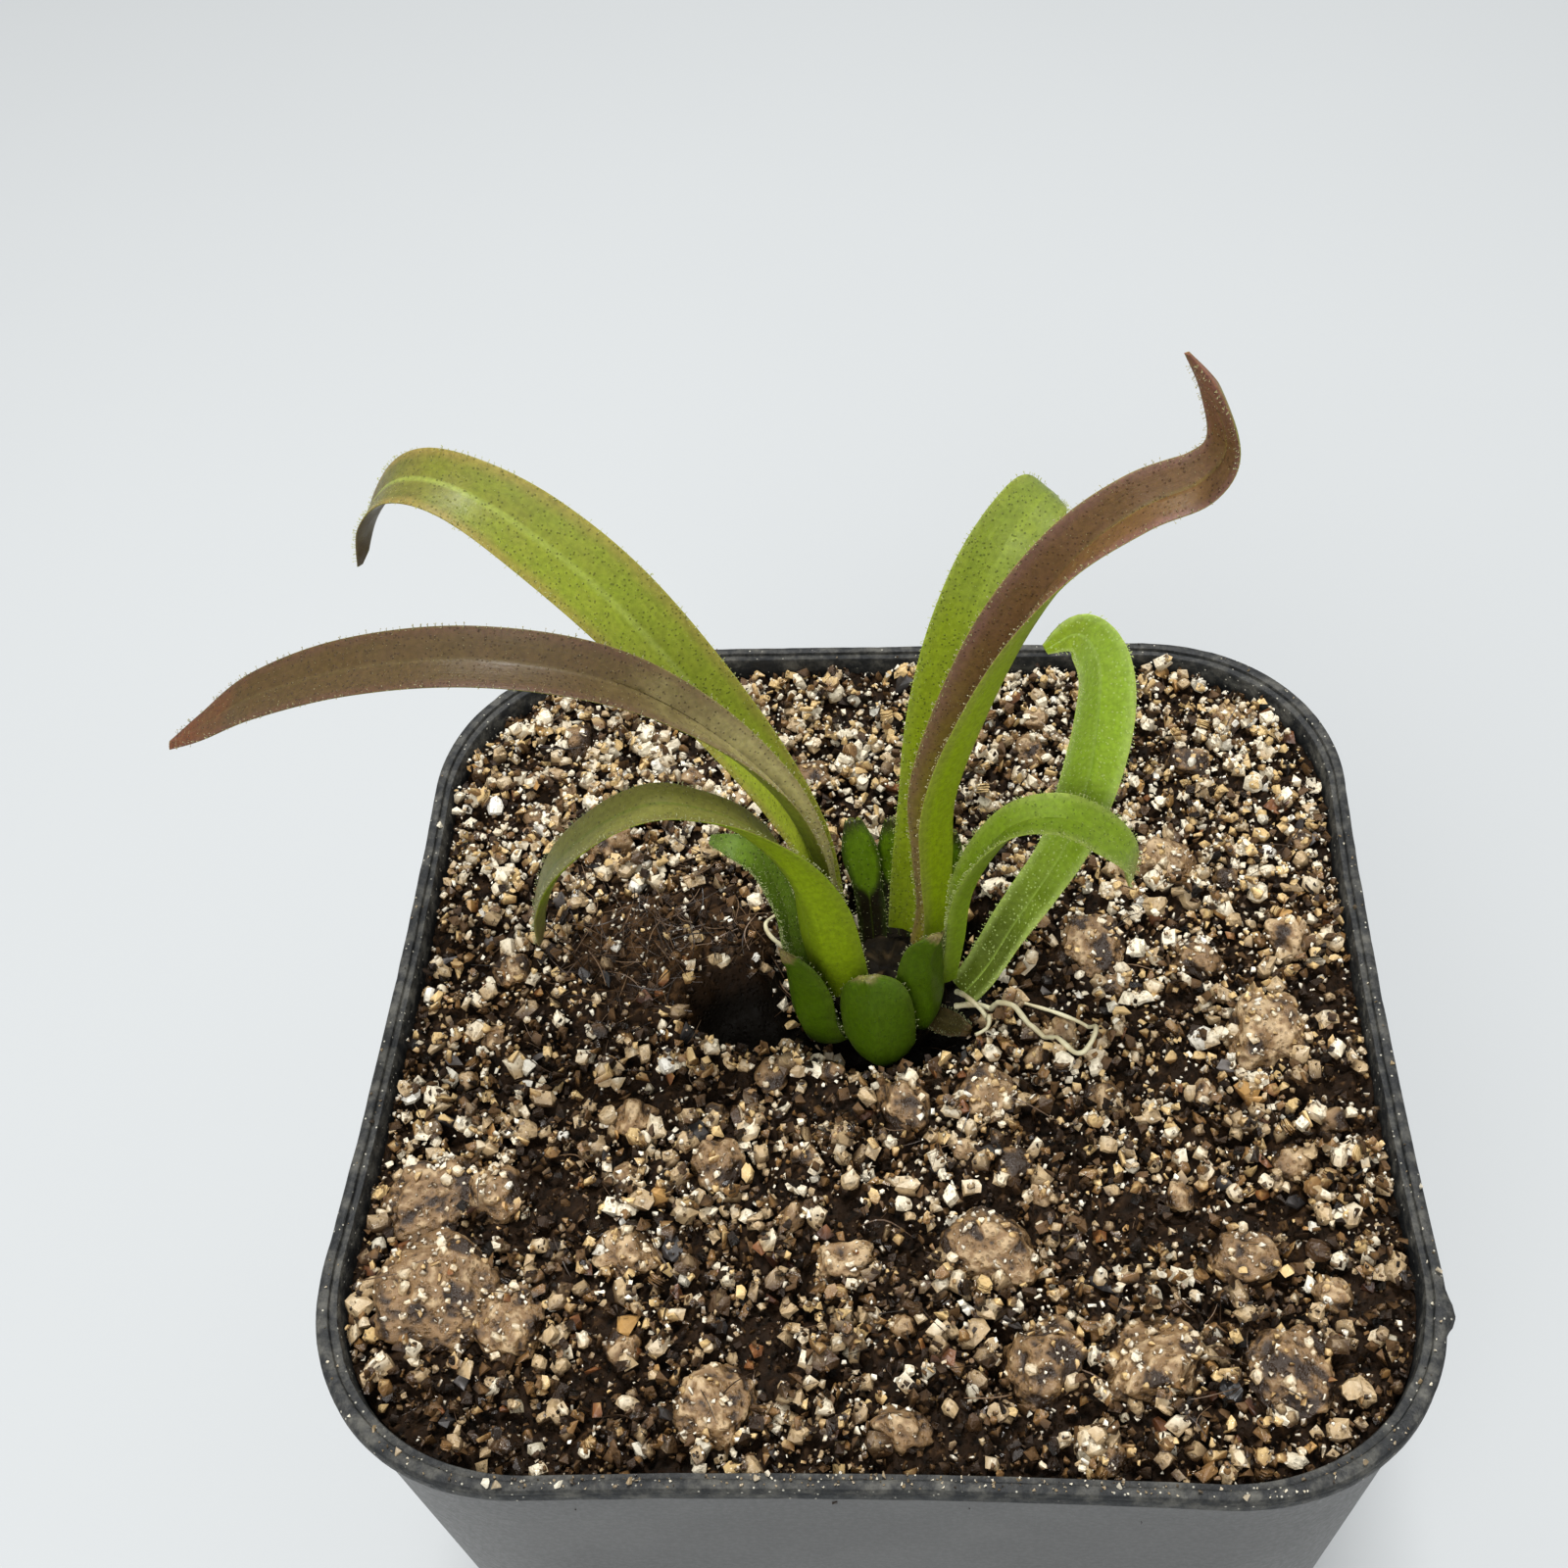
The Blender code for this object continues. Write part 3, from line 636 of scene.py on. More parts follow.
@dataclass(frozen=True)
class HairFinish:
    """The glandular hairs: pale stalks with clear, shiny heads."""

    name: str
    stalk: Colour
    head: Colour
    patch_scale: float = 700.0
    patch_share: float = 0.4
    roughness: Pair = (0.4, 0.12)

    def build(self, effects: Effects) -> bpy.types.Material:
        """Builds the material.

        Args:
            effects: the shared node groups.

        Returns:
            The material.
        """
        made, sheet, shader = new_finish(self.name)
        tone = sheet.attribute("tone")
        patch = sheet.effect(effects.mottle, Vector=sheet.place(), Scale=self.patch_scale,
                             Contrast=0.4)
        share = sheet.math("MULTIPLY", patch.outputs["Mask"], self.patch_share)
        stalk = sheet.mix(share, self.stalk, self.head)
        sheet.feed(shader.inputs["Base Color"], sheet.mix(tone, stalk, self.head))
        sheet.feed(shader.inputs["Roughness"], sheet.span(tone, 0.0, 1.0, *self.roughness))
        return made


# Shapes and meshes


def catmull_rom(before: Row, start: Row, end: Row, after: Row, t: float) -> list[float]:
    """Reads one point of a smooth curve.

    Args:
        before, start, end, after: four points in turn, of any length.
        t: how far from start to end, from 0 to 1.

    Returns:
        The point.
    """
    return [
        0.5 * (2 * b + (c - a) * t + (2 * a - 5 * b + 4 * c - d) * t ** 2
               + (3 * b - a - 3 * c + d) * t ** 3)
        for a, b, c, d in zip(before, start, end, after)
    ]


def smooth_points(points: tuple[Row, ...], count: int, fine: int = 24) -> list[list[float]]:
    """Reads points evenly spaced by length from a smooth curve.

    Args:
        points: the points that the curve goes through.
        count: how many points to read.
        fine: how finely each stretch is measured.

    Returns:
        The points.
    """
    ends = [points[0], *points, points[-1]]
    dense = []
    for k in range(len(points) - 1):
        dense += [catmull_rom(*ends[k:k + 4], step / fine) for step in range(fine)]
    dense.append(list(points[-1]))
    reach = [0.0]
    for a, b in zip(dense, dense[1:]):
        reach.append(reach[-1] + math.dist(a[:3], b[:3]))
    picked = []
    k = 0
    for step in range(count):
        goal = reach[-1] * step / (count - 1)
        while k < len(dense) - 2 and reach[k + 1] < goal:
            k += 1
        t = min(1.0, (goal - reach[k]) / (reach[k + 1] - reach[k]))
        picked.append([a + (b - a) * t for a, b in zip(dense[k], dense[k + 1])])
    return picked


def clip(value: float) -> float:
    """Keeps a value from 0 to 1.

    Args:
        value: the value.

    Returns:
        The nearest value from 0 to 1.
    """
    return min(1.0, max(0.0, value))


def blend(first: Colour, second: Colour, share: float) -> Colour:
    """Mixes two colours.

    Args:
        first, second: the colours.
        share: how much of the second one shows.

    Returns:
        The mixed colour.
    """
    return tuple((1 - share) * a + share * b for a, b in zip(first, second))


def ripples(spot: Vector, waves: tuple[Pair, ...]) -> float:
    """Adds up noise of several sizes at a point.

    Args:
        spot: the point.
        waves: how fine and how high each noise is.

    Returns:
        The sum.
    """
    return sum(noise.noise(spot * fineness) * size for fineness, size in waves)


def take_mesh(name: str, work: Work) -> bpy.types.Mesh:
    """Makes a mesh of a bmesh.

    Args:
        name: the mesh's name.
        work: the bmesh, which is freed.

    Returns:
        The mesh.
    """
    mesh = bpy.data.meshes.new(name)
    work.to_mesh(mesh)
    work.free()
    return mesh


def draw_out(work: Work, border: list[bmesh.types.BMEdge]
             ) -> tuple[list[bmesh.types.BMVert], list[bmesh.types.BMEdge]]:
    """Extrudes the open edges of a mesh, in place.

    Args:
        work: the mesh.
        border: its open edges.

    Returns:
        The new points and the new open edges.
    """
    made = bmesh.ops.extrude_edge_only(work, edges=border)["geom"]
    fresh = [part for part in made if isinstance(part, bmesh.types.BMVert)]
    return fresh, [part for part in made if isinstance(part, bmesh.types.BMEdge)]


def finish_piece(name: str, work: Work, finish: bpy.types.Material,
                 nodes: tuple[str, ...] = (), smooth: float | None = 40.0) -> bpy.types.Object:
    """Makes a piece of a bmesh in millimetres, and sets it on the part.

    Args:
        name: the piece's name.
        work: its mesh, which is freed.
        finish: its material.
        nodes: the part's nodes that it stands for.
        smooth: the angle in degrees past which an edge stays sharp, or None for flat.

    Returns:
        The piece.
    """
    bmesh.ops.scale(work, vec=(MM, MM, MM), verts=work.verts)
    mesh = take_mesh(name, work)
    mesh.materials.append(finish)
    piece = bpy.data.objects.new(name, mesh)
    bpy.context.scene.collection.objects.link(piece)
    if smooth is not None:
        mesh.shade_smooth()
        mesh.set_sharp_from_angle(angle=math.radians(smooth))
    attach(piece, "root")
    if nodes:
        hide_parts(*nodes)
    LOG.info("%s: %d faces", name, len(mesh.polygons))
    return piece


class Scatter:
    """Gathers many placed copies of a few small shapes into one mesh."""

    def __init__(self, shade: float = 0.0) -> None:
        """Starts with nothing gathered.

        Args:
            shade: painted light from above: how much lighter a copy's top is than its middle.
        """
        self.shade = shade
        self.work = bmesh.new()
        self.shapes: list[tuple[bpy.types.Mesh, np.ndarray]] = []

    def add_shape(self, shape: Work) -> int:
        """Takes a shape to copy.

        Args:
            shape: the shape, about 1 across, which is freed.

        Returns:
            The shape's number.
        """
        if shape.verts.layers.float.get("tone") is None:
            shape.verts.layers.float.new("tone")
        mesh = take_mesh("shape", shape)
        spots = np.empty(len(mesh.vertices) * 3, np.float32)
        mesh.vertices.foreach_get("co", spots)
        self.shapes.append((mesh, spots.reshape(-1, 3)))
        return len(self.shapes) - 1

    def put(self, shape: int, turn: Matrix, tone: float | None = None) -> None:
        """Places one copy.

        Args:
            shape: the shape's number.
            turn: the 4 by 4 matrix that places it.
            tone: the value of its tone, or None to leave the shape's own.
        """
        mesh, spots = self.shapes[shape]
        matrix = np.array(turn, np.float32)
        placed = spots @ matrix[:3, :3].T + matrix[:3, 3]
        mesh.vertices.foreach_set("co", placed.ravel())
        if tone is not None:
            # Painted light from above: the copy's top is lighter and its underside darker.
            lift = placed[:, 2] - matrix[2, 3]
            values = tone + self.shade * lift / (np.abs(lift).max() + 1e-6)
            values = np.clip(values, 0.0, 1.0).astype(np.float32)
            mesh.attributes["tone"].data.foreach_set("value", values)
        self.work.from_mesh(mesh)

    def close(self) -> Work:
        """Removes the shapes and returns the gathered mesh."""
        for mesh, _ in self.shapes:
            bpy.data.meshes.remove(mesh)
        return self.work


# Pot


@dataclass
class NurseryPot:
    """The square nursery pot, with its rim's step, tapered wall, foot and drains."""

    effects: Effects
    width: float = 76.0
    corner: float = 16.3
    pulls: tuple[float, ...] = (1.2, 0.0, 1.2, 1.2)
    lip_overhang: float = 0.3
    lip_height: float = 1.6
    rim_face: float = 0.75
    step_drop: float = 0.35
    wall: float = 1.0
    taper: float = 0.073
    floor_top: float = 2.7
    floor_raise: float = 1.5
    foot_band: float = 3.0
    drain_radius: float = 2.6
    drain_ring: float = 17.0
    drain_count: int = 8
    drain_sides: int = 28
    drain_cut: float = 8.0
    around: int = 360
    smooth: float = 32.0
    worn_below: float = 0.3
    sag: float = 0.5
    waves: tuple[Pair, Pair] = ((0.35, 0.09), (1.6, 0.035))
    nub: tuple[float, float, float] = (37.1, -24.5, 75.2)
    nub_reach: float = 1.05
    nub_height: float = 0.65

    def wall_half(self, z: float) -> float:
        """Half the width of the outer wall.

        Args:
            z: the height that it is read at.

        Returns:
            The half width there.
        """
        return self.width / 2 - self.lip_overhang - self.taper * (POT_TOP - z)

    def rim_point(self, place: float) -> tuple[float, float]:
        """Reads a point of the rim's outline.

        Args:
            place: how far round it, from 0 to 1, from the middle of the +X side.

        Returns:
            The point's x and y.
        """
        half = self.width / 2
        straight = half - self.corner
        arc = self.corner * math.pi / 2
        along = (place % 1.0) * 4 * (2 * straight + arc)
        side, along = divmod(along, 2 * straight + arc)
        pull, next_pull = self.pulls[int(side)], self.pulls[(int(side) + 1) % 4]
        if along < straight:
            x, y = half, along
        elif along < straight + arc:
            turn = (along - straight) / self.corner
            x = straight + self.corner * math.cos(turn)
            y = straight + self.corner * math.sin(turn)
        else:
            x, y = straight - (along - straight - arc), half
        x -= pull * max(0.0, 1 - (y / half) ** 2) * (x / half) ** 3
        y -= next_pull * max(0.0, 1 - (x / half) ** 2) * (y / half) ** 3
        for _ in range(int(side)):
            x, y = -y, x
        return x, y

    def profile(self) -> list[tuple[float, float, float]]:
        """Gives the wall's section.

        Returns:
            Half width, height and whether it is outside, from the foot up and back in.
        """
        edge, top = self.width / 2, POT_TOP
        foot = self.wall_half(0)
        lip = top - self.lip_height
        steps = [
            (foot - self.foot_band, self.floor_raise, 0), (foot - self.foot_band + 0.1, 0.3, 0),
            (foot - self.foot_band + 0.35, 0.0, 0), (foot - 0.6, 0.0, 1), (foot - 0.2, 0.12, 1),
            (foot, 0.5, 1),
        ]
        steps += [(self.wall_half(z), z, 1) for z in range(4, 72, 4)]
        steps += [
            (self.wall_half(lip) - 0.02, lip - 0.25, 1), (self.wall_half(lip) + 0.06, lip, 1),
            (edge - 0.28, lip + 0.02, 1), (edge - 0.08, lip + 0.1, 1), (edge, lip + 0.3, 1),
            (edge, top - 0.62, 1), (edge - 0.05, top - 0.52, 1), (edge, top - 0.42, 1),
            (edge - 0.03, top - 0.2, 1), (edge - 0.13, top - 0.05, 1), (edge - 0.3, top, 1),
            (edge - self.rim_face + 0.1, top, 0), (edge - self.rim_face, top - 0.06, 0),
            (edge - self.rim_face - 0.08, top - self.step_drop + 0.04, 0),
            (edge - self.rim_face - 0.14, top - self.step_drop, 0),
            (edge - self.lip_overhang - self.wall + 0.06, top - self.step_drop, 0),
            (edge - self.lip_overhang - self.wall, top - self.step_drop - 0.1, 0),
        ]
        inner = [(self.wall_half(z) - self.wall, z, 0) for z in (72, 60, 40, 20, 8)]
        return steps + inner + [(self.wall_half(4) - self.wall, 3.6, 0),
                                (self.wall_half(4) - self.wall - 0.9, self.floor_top, 0)]

    def build(self) -> None:
        """Builds the pot and sets it on the part."""
        work = bmesh.new()
        outside = work.verts.layers.float.new("outside")
        steps = self.profile()
        edge = self.width / 2
        half, z, _ = steps[0]
        points = [self.rim_point(k / self.around) for k in range(self.around)]
        verts = [work.verts.new((x * half / edge, y * half / edge, z)) for x, y in points]
        border = [work.edges.new(pair) for pair in zip(verts, verts[1:] + verts[:1])]
        bmesh.ops.edgeloop_fill(work, edges=border)
        for next_half, next_z, out in steps[1:]:
            fresh, border = draw_out(work, border)
            scale = next_half / half
            for vert in fresh:
                vert.co = (vert.co.x * scale, vert.co.y * scale, next_z)
                vert[outside] = out
            half = next_half
        bmesh.ops.edgeloop_fill(work, edges=border)
        self.wear_rim(work)
        bmesh.ops.recalc_face_normals(work, faces=work.faces)
        pot = finish_piece("pot_shell", work, PlasticFinish().build(self.effects),
                           ("pot",), self.smooth)
        self.cut_drains(pot)

    def wear_rim(self, work: Work) -> None:
        """Makes the rim a little uneven, and raises the small burr on its right side.

        Args:
            work: the pot's mesh, in millimetres.
        """
        burr = Vector(self.nub)
        for vert in work.verts:
            if vert.co.z < POT_TOP - self.lip_height - self.worn_below:
                continue
            ripple = ripples(vert.co, self.waves)
            out = Vector((vert.co.x, vert.co.y, 0)).normalized()
            near = max(0.0, 1 - (vert.co - burr).length / self.nub_reach)
            dome = math.sqrt(near * (2 - near))
            vert.co += out * (min(0.0, ripple) + self.nub_height * dome)
            vert.co.z -= abs(ripple) * self.sag

    def cut_drains(self, pot: bpy.types.Object) -> None:
        """Cuts the drain holes in the floor and applies the cut.

        Args:
            pot: the pot's piece.
        """
        cutters = bpy.data.collections.new("drains")
        for k in range(self.drain_count):
            angle = math.tau * (k + 0.5) / self.drain_count
            work = bmesh.new()
            bmesh.ops.create_cone(work, cap_ends=True, segments=self.drain_sides,
                                  radius1=self.drain_radius * MM,
                                  radius2=self.drain_radius * MM, depth=self.drain_cut * MM)
            spot = Vector((math.cos(angle), math.sin(angle), 0)) * self.drain_ring * MM
            bmesh.ops.translate(work, verts=work.verts, vec=spot)
            cutters.objects.link(bpy.data.objects.new("drain", take_mesh("drain", work)))
        cut = pot.modifiers.new("Drains", "BOOLEAN")
        cut.operand_type, cut.collection, cut.solver = "COLLECTION", cutters, "EXACT"
        bpy.context.view_layer.update()
        graph = bpy.context.evaluated_depsgraph_get()
        mesh = bpy.data.meshes.new_from_object(pot.evaluated_get(graph), depsgraph=graph)
        pot.modifiers.clear()
        pot.data = mesh
        for drain in list(cutters.objects):
            bpy.data.objects.remove(drain, do_unlink=True)
        bpy.data.collections.remove(cutters)


# Leaves


@dataclass
class Blade:
    """One leaf: a fleshy blade folded up along its midrib, with halves that curl inwards."""

    name: str
    heading: float
    curl: float
    rows: tuple[Row, ...]
    slot: str
    stations: int = 150
    ring: int = 44
    middle: float = 0.72
    edge: float = 0.3
    ripple: float = 0.1
    hairs: int = 1050
    crease: float = 0.09
    ragged: float = 0.0
    torn_tip: Pair = (0.86, 0.14)
    torn_fineness: float = 5.2
    swell: float = 0.8
    slim: float = 0.9
    groove: Pair = (0.035, 0.22)
    keel: Pair = (0.16, 0.2)
    boxiness: float = 0.75
    hair_span: Pair = (0.02, 0.99)
    hair_rim: Pair = (0.93, 1.0)
    hair_face: float = 0.92
    hair_lean: float = 0.35
    hair_size: Pair = (0.14, 0.29)
    face_hair: float = 0.6

    def frames(self) -> list[tuple[Vector, Vector, Vector, float, float]]:
        """Gives the place, the two cross directions, half width and fold at each station."""
        course = smooth_points(self.rows, self.stations)
        spots = [Vector(point[:3]) for point in course]
        turn = math.radians(self.heading)
        side = Vector((-math.sin(turn), math.cos(turn), 0))
        found = []
        last = self.stations - 1
        for k, spot in enumerate(spots):
            ahead = (spots[min(k + 1, last)] - spots[max(k - 1, 0)]).normalized()
            side = (side - ahead * side.dot(ahead)).normalized()
            face = ahead.cross(side)
            roll = math.radians(course[k][4])
            found.append((
                spot, side * math.cos(roll) - face * math.sin(roll),
                face * math.cos(roll) + side * math.sin(roll),
                max(0.05, course[k][3] / 2), math.radians(course[k][5]),
            ))
        return found

    def surface(self, frame: tuple[Vector, Vector, Vector, float, float], along: float,
                across: float) -> tuple[Vector, Vector]:
        """Reads a point of the blade's middle sheet.

        Args:
            frame: the station's frame.
            along: how far along the leaf, from 0 to 1.
            across: how far across it, from -1 to 1.

        Returns:
            The point and the upper face's direction there.
        """
        spot, side, face, half, fold = frame
        bend = math.radians(self.curl)
        lean = math.copysign(1.0, across)
        raised = fold + bend * abs(across)
        reach = half / bend
        out = lean * reach * (math.sin(raised) - math.sin(fold))
        soft = math.hypot(across, self.crease) - self.crease
        rise = reach * (math.cos(fold) - math.cos(fold + bend * soft / (1 - self.crease)))
        wave = self.ripple * noise.noise(Vector((along * 9, lean * 3, self.heading)))
        up = (face * math.cos(raised) - side * lean * math.sin(raised)).normalized()
        return spot + side * out + face * rise + up * wave * across * across, up

    def thickness(self, beside: float) -> float:
        """How thick the blade is.

        Args:
            beside: how far from the midrib to the margin, from 0 to 1.

        Returns:
            The thickness there.
        """
        return self.edge + (self.middle - self.edge) * (1 - beside) ** self.swell

    def build_mesh(self) -> Work:
        """Builds the blade as a closed skin, and returns it in millimetres."""
        work = bmesh.new()
        along_layer = work.verts.layers.float.new("along")
        across_layer = work.verts.layers.float.new("across")
        under_layer = work.verts.layers.float.new("under")
        bmesh.ops.create_grid(work, x_segments=self.ring, y_segments=self.stations - 1, size=1)
        frames = self.frames()
        for vert in work.verts:
            k = round((vert.co.y + 1) / 2 * (self.stations - 1))
            turn = math.pi * (vert.co.x + 1)
            along = k / (self.stations - 1)
            across = math.cos(turn)
            upper = math.sin(turn)
            inward = min(0.999, abs(across))
            flat = math.copysign(inward, across) if across else 1e-4
            thick = self.thickness(inward) * min(1.0, frames[k][3] / self.slim)
            spot, up = self.surface(frames[k], along, flat)
            deep, wide = self.groove
            groove = deep * max(0.0, 1 - inward / wide) if upper > 0 else 0.0
            deep, wide = self.keel
            keel = -deep * max(0.0, 1 - inward / wide) if upper < 0 else 0.0
            shown = math.copysign(abs(upper) ** self.boxiness, upper)
            ahead = frames[k][1].cross(frames[k][2])
            start, length = self.torn_tip
            torn = self.ragged * max(0.0, (along - start) / length)
            torn *= noise.noise(Vector((across * self.torn_fineness, self.heading, 2.0)))
            vert.co = spot + up * (shown * thick / 2 - groove + keel * thick) + ahead * torn
            vert[along_layer], vert[across_layer] = along, across
            vert[under_layer] = clip(0.5 - upper * 4)
        bmesh.ops.remove_doubles(work, verts=work.verts, dist=1e-4)
        border = [edge for edge in work.edges if edge.is_boundary]
        bmesh.ops.holes_fill(work, edges=border, sides=0)
        bmesh.ops.translate(work, vec=CROWN, verts=work.verts)
        bmesh.ops.recalc_face_normals(work, faces=work.faces)
        return work

    def grow_hairs(self, scatter: Scatter, shape: int, draw: random.Random) -> None:
        """Sets the stalked glands along both margins and over the faces.

        Args:
            scatter: what gathers them.
            shape: the hair's shape there.
            draw: the source of chance.
        """
        frames = self.frames()
        for k in range(self.hairs):
            along = draw.uniform(*self.hair_span)
            frame = frames[round(along * (self.stations - 1))]
            if k % 5 < 3:
                across = draw.choice((-1, 1)) * draw.uniform(*self.hair_rim)
            else:
                across = draw.uniform(-self.hair_face, self.hair_face)
            spot, up = self.surface(frame, along, across)
            out = frame[1] * math.copysign(1.0, across)
            edge = max(0.0, (abs(across) - 0.9) / 0.1)
            away = (up * (1.0 - 0.45 * edge) + out * edge * 0.9).normalized()
            lean = Vector([draw.uniform(-self.hair_lean, self.hair_lean) for _ in range(3)])
            away = (away + lean).normalized()
            start = spot + up * self.thickness(abs(across)) * 0.35 * (1 - edge) + CROWN
            size = draw.uniform(*self.hair_size) * (1.0 if edge else self.face_hair)
            turn = away.to_track_quat("Z", "Y").to_matrix().to_4x4()
            scatter.put(shape, Matrix.Translation(start) @ turn @ Matrix.Scale(size, 4))


def hair_shape() -> Work:
    """A stalk with a small round head, 1 high."""
    work = bmesh.new()
    tone = work.verts.layers.float.new("tone")
    bmesh.ops.create_cone(work, segments=3, radius1=0.07, radius2=0.045, depth=0.9)
    bmesh.ops.translate(work, verts=work.verts, vec=(0, 0, 0.4))
    head = bmesh.ops.create_uvsphere(work, u_segments=4, v_segments=3, radius=0.17)["verts"]
    bmesh.ops.translate(work, verts=head, vec=(0, 0, 0.9))
    for vert in head:
        vert[tone] = 1.0
    return work


# Each leaf has its heading and its curl in degrees, and then its stations: x, y and z from
# the crown, width, roll and fold.
LONG_LEAVES: dict[str, tuple[float, float, tuple[Row, ...]]] = {
    "leaf_upper_left": (160, 14, (
        (-4.3, 2.0, -2.6, 3.2, 5, 35), (-5.1, 3.5, 1.1, 4.0, 8, 32),
        (-6.5, 3.9, 9.5, 4.7, 12, 28), (-10.5, 5.4, 18.0, 5.5, 18, 20),
        (-17.1, 7.8, 27.4, 6.4, 22, 14), (-22.8, 9.8, 32.8, 6.2, 20, 12),
        (-27.9, 11.7, 35.4, 5.2, 16, 10), (-31.9, 13.2, 35.0, 4.8, 12, 8),
        (-35.0, 14.3, 31.6, 4.0, 10, 5), (-37.3, 15.1, 26.3, 0.8, 10, 3),
    )),
    "leaf_far_left": (181, 14, (
        (-2.9, 0.3, -1.2, 1.8, 10, 50), (-4.4, 0.4, 7.0, 2.2, 15, 58),
        (-5.0, 0.4, 12.0, 2.6, 20, 58), (-7.3, 0.4, 18.3, 3.2, 20, 48),
        (-12.0, 0.4, 24.4, 4.2, 20, 34), (-18.0, 0.4, 28.6, 4.8, 20, 22),
        (-26.0, 0.4, 30.4, 4.8, 20, 14), (-34.0, 0.4, 29.7, 4.6, 20, 12),
        (-40.8, 0.4, 27.4, 3.8, 20, 10), (-45.4, 0.4, 24.6, 2.2, 20, 8),
        (-48.3, 0.4, 22.9, 0.7, 20, 5),
    )),
    "leaf_left_arching": (205, 14, (
        (-4.1, -3.1, -1.0, 6.0, -36, 22), (-4.6, -3.2, 3.0, 6.4, -36, 22),
        (-5.1, -3.1, 8.6, 5.8, -32, 22), (-6.4, -3.1, 13.6, 4.7, -20, 20),
        (-9.0, -3.3, 17.8, 3.8, 0, 18), (-11.8, -3.6, 20.0, 3.5, 12, 14),
        (-14.9, -4.0, 21.0, 3.8, 15, 10), (-18.5, -4.5, 19.4, 3.8, 15, 10),
        (-21.8, -4.9, 16.1, 3.6, 15, 8), (-23.7, -5.2, 12.2, 2.8, 15, 6),
        (-24.4, -5.3, 8.2, 0.8, 15, 5),
    )),
    "leaf_left_short": (168, 14, (
        (-5.6, -1.0, -2.4, 1.8, 30, 20), (-7.2, -0.4, 1.5, 2.1, 30, 20),
        (-7.5, -0.2, 5.6, 2.3, 30, 20), (-8.7, 0.0, 10.4, 2.4, 30, 15),
        (-10.1, 0.0, 12.1, 2.1, 30, 10), (-12.2, 0.5, 12.5, 0.7, 30, 8),
    )),
    "leaf_tall_middle": (75, 12, (
        (1.2, 3.6, -1.6, 2.4, 0, 20), (2.0, 5.2, 4.0, 3.2, 0, 20),
        (3.0, 6.2, 10.0, 3.9, 0, 18), (3.8, 7.0, 15.2, 4.6, 0, 16),
        (4.9, 7.8, 20.4, 5.1, 0, 14), (6.3, 8.8, 25.0, 5.4, 0, 12),
        (8.0, 10.3, 28.8, 5.4, 0, 10), (9.8, 12.0, 31.3, 5.0, 0, 8),
        (11.4, 14.2, 31.9, 4.0, 0, 5), (12.4, 16.4, 30.0, 0.9, 0, 3),
    )),
    "leaf_right_kinked": (8, 12, (
        (3.2, 0.7, -1.2, 3.4, 0, 45), (4.4, 1.7, 2.6, 4.4, -5, 54),
        (4.7, 2.0, 9.0, 5.3, -8, 60), (5.0, 2.2, 15.4, 6.0, -10, 60),
        (7.1, 2.5, 23.1, 6.3, -12, 57), (9.8, 2.9, 30.3, 6.0, -15, 50),
        (13.1, 3.3, 36.0, 5.2, -20, 38), (16.8, 3.8, 39.4, 4.6, -28, 28),
        (20.4, 4.3, 41.0, 4.0, -30, 20), (21.8, 4.6, 43.4, 3.0, -30, 18),
        (20.6, 4.4, 47.3, 2.0, -30, 12), (18.7, 4.1, 50.4, 0.5, -30, 8),
    )),
    "leaf_right_curled": (20, 12, (
        (6.0, -0.6, -4.6, 3.2, -10, 20), (7.8, 0.0, -1.9, 3.6, -15, 22),
        (9.7, 0.8, 2.2, 3.8, -25, 25), (13.3, 2.2, 9.8, 4.2, -45, 28),
        (14.5, 2.8, 16.5, 5.0, -68, 28), (14.8, 3.1, 22.8, 5.4, -88, 26),
        (14.5, 3.0, 27.4, 4.5, -105, 18), (13.1, 2.4, 30.3, 3.0, -115, 10),
        (11.1, 1.4, 29.9, 0.8, -120, 8),
    )),
    "leaf_right_arching": (-4, 12, (
        (4.9, -0.5, -2.4, 2.3, 0, 38), (5.5, -1.2, 3.0, 2.7, 0, 40),
        (6.3, -1.4, 9.8, 3.1, -5, 38), (9.0, -1.6, 15.6, 3.3, -10, 28),
        (12.2, -1.9, 17.2, 3.5, -15, 18), (15.0, -2.3, 16.0, 3.6, -15, 12),
        (17.0, -2.5, 13.8, 2.7, -15, 10), (17.4, -2.5, 11.0, 0.8, -15, 8),
    )),
}

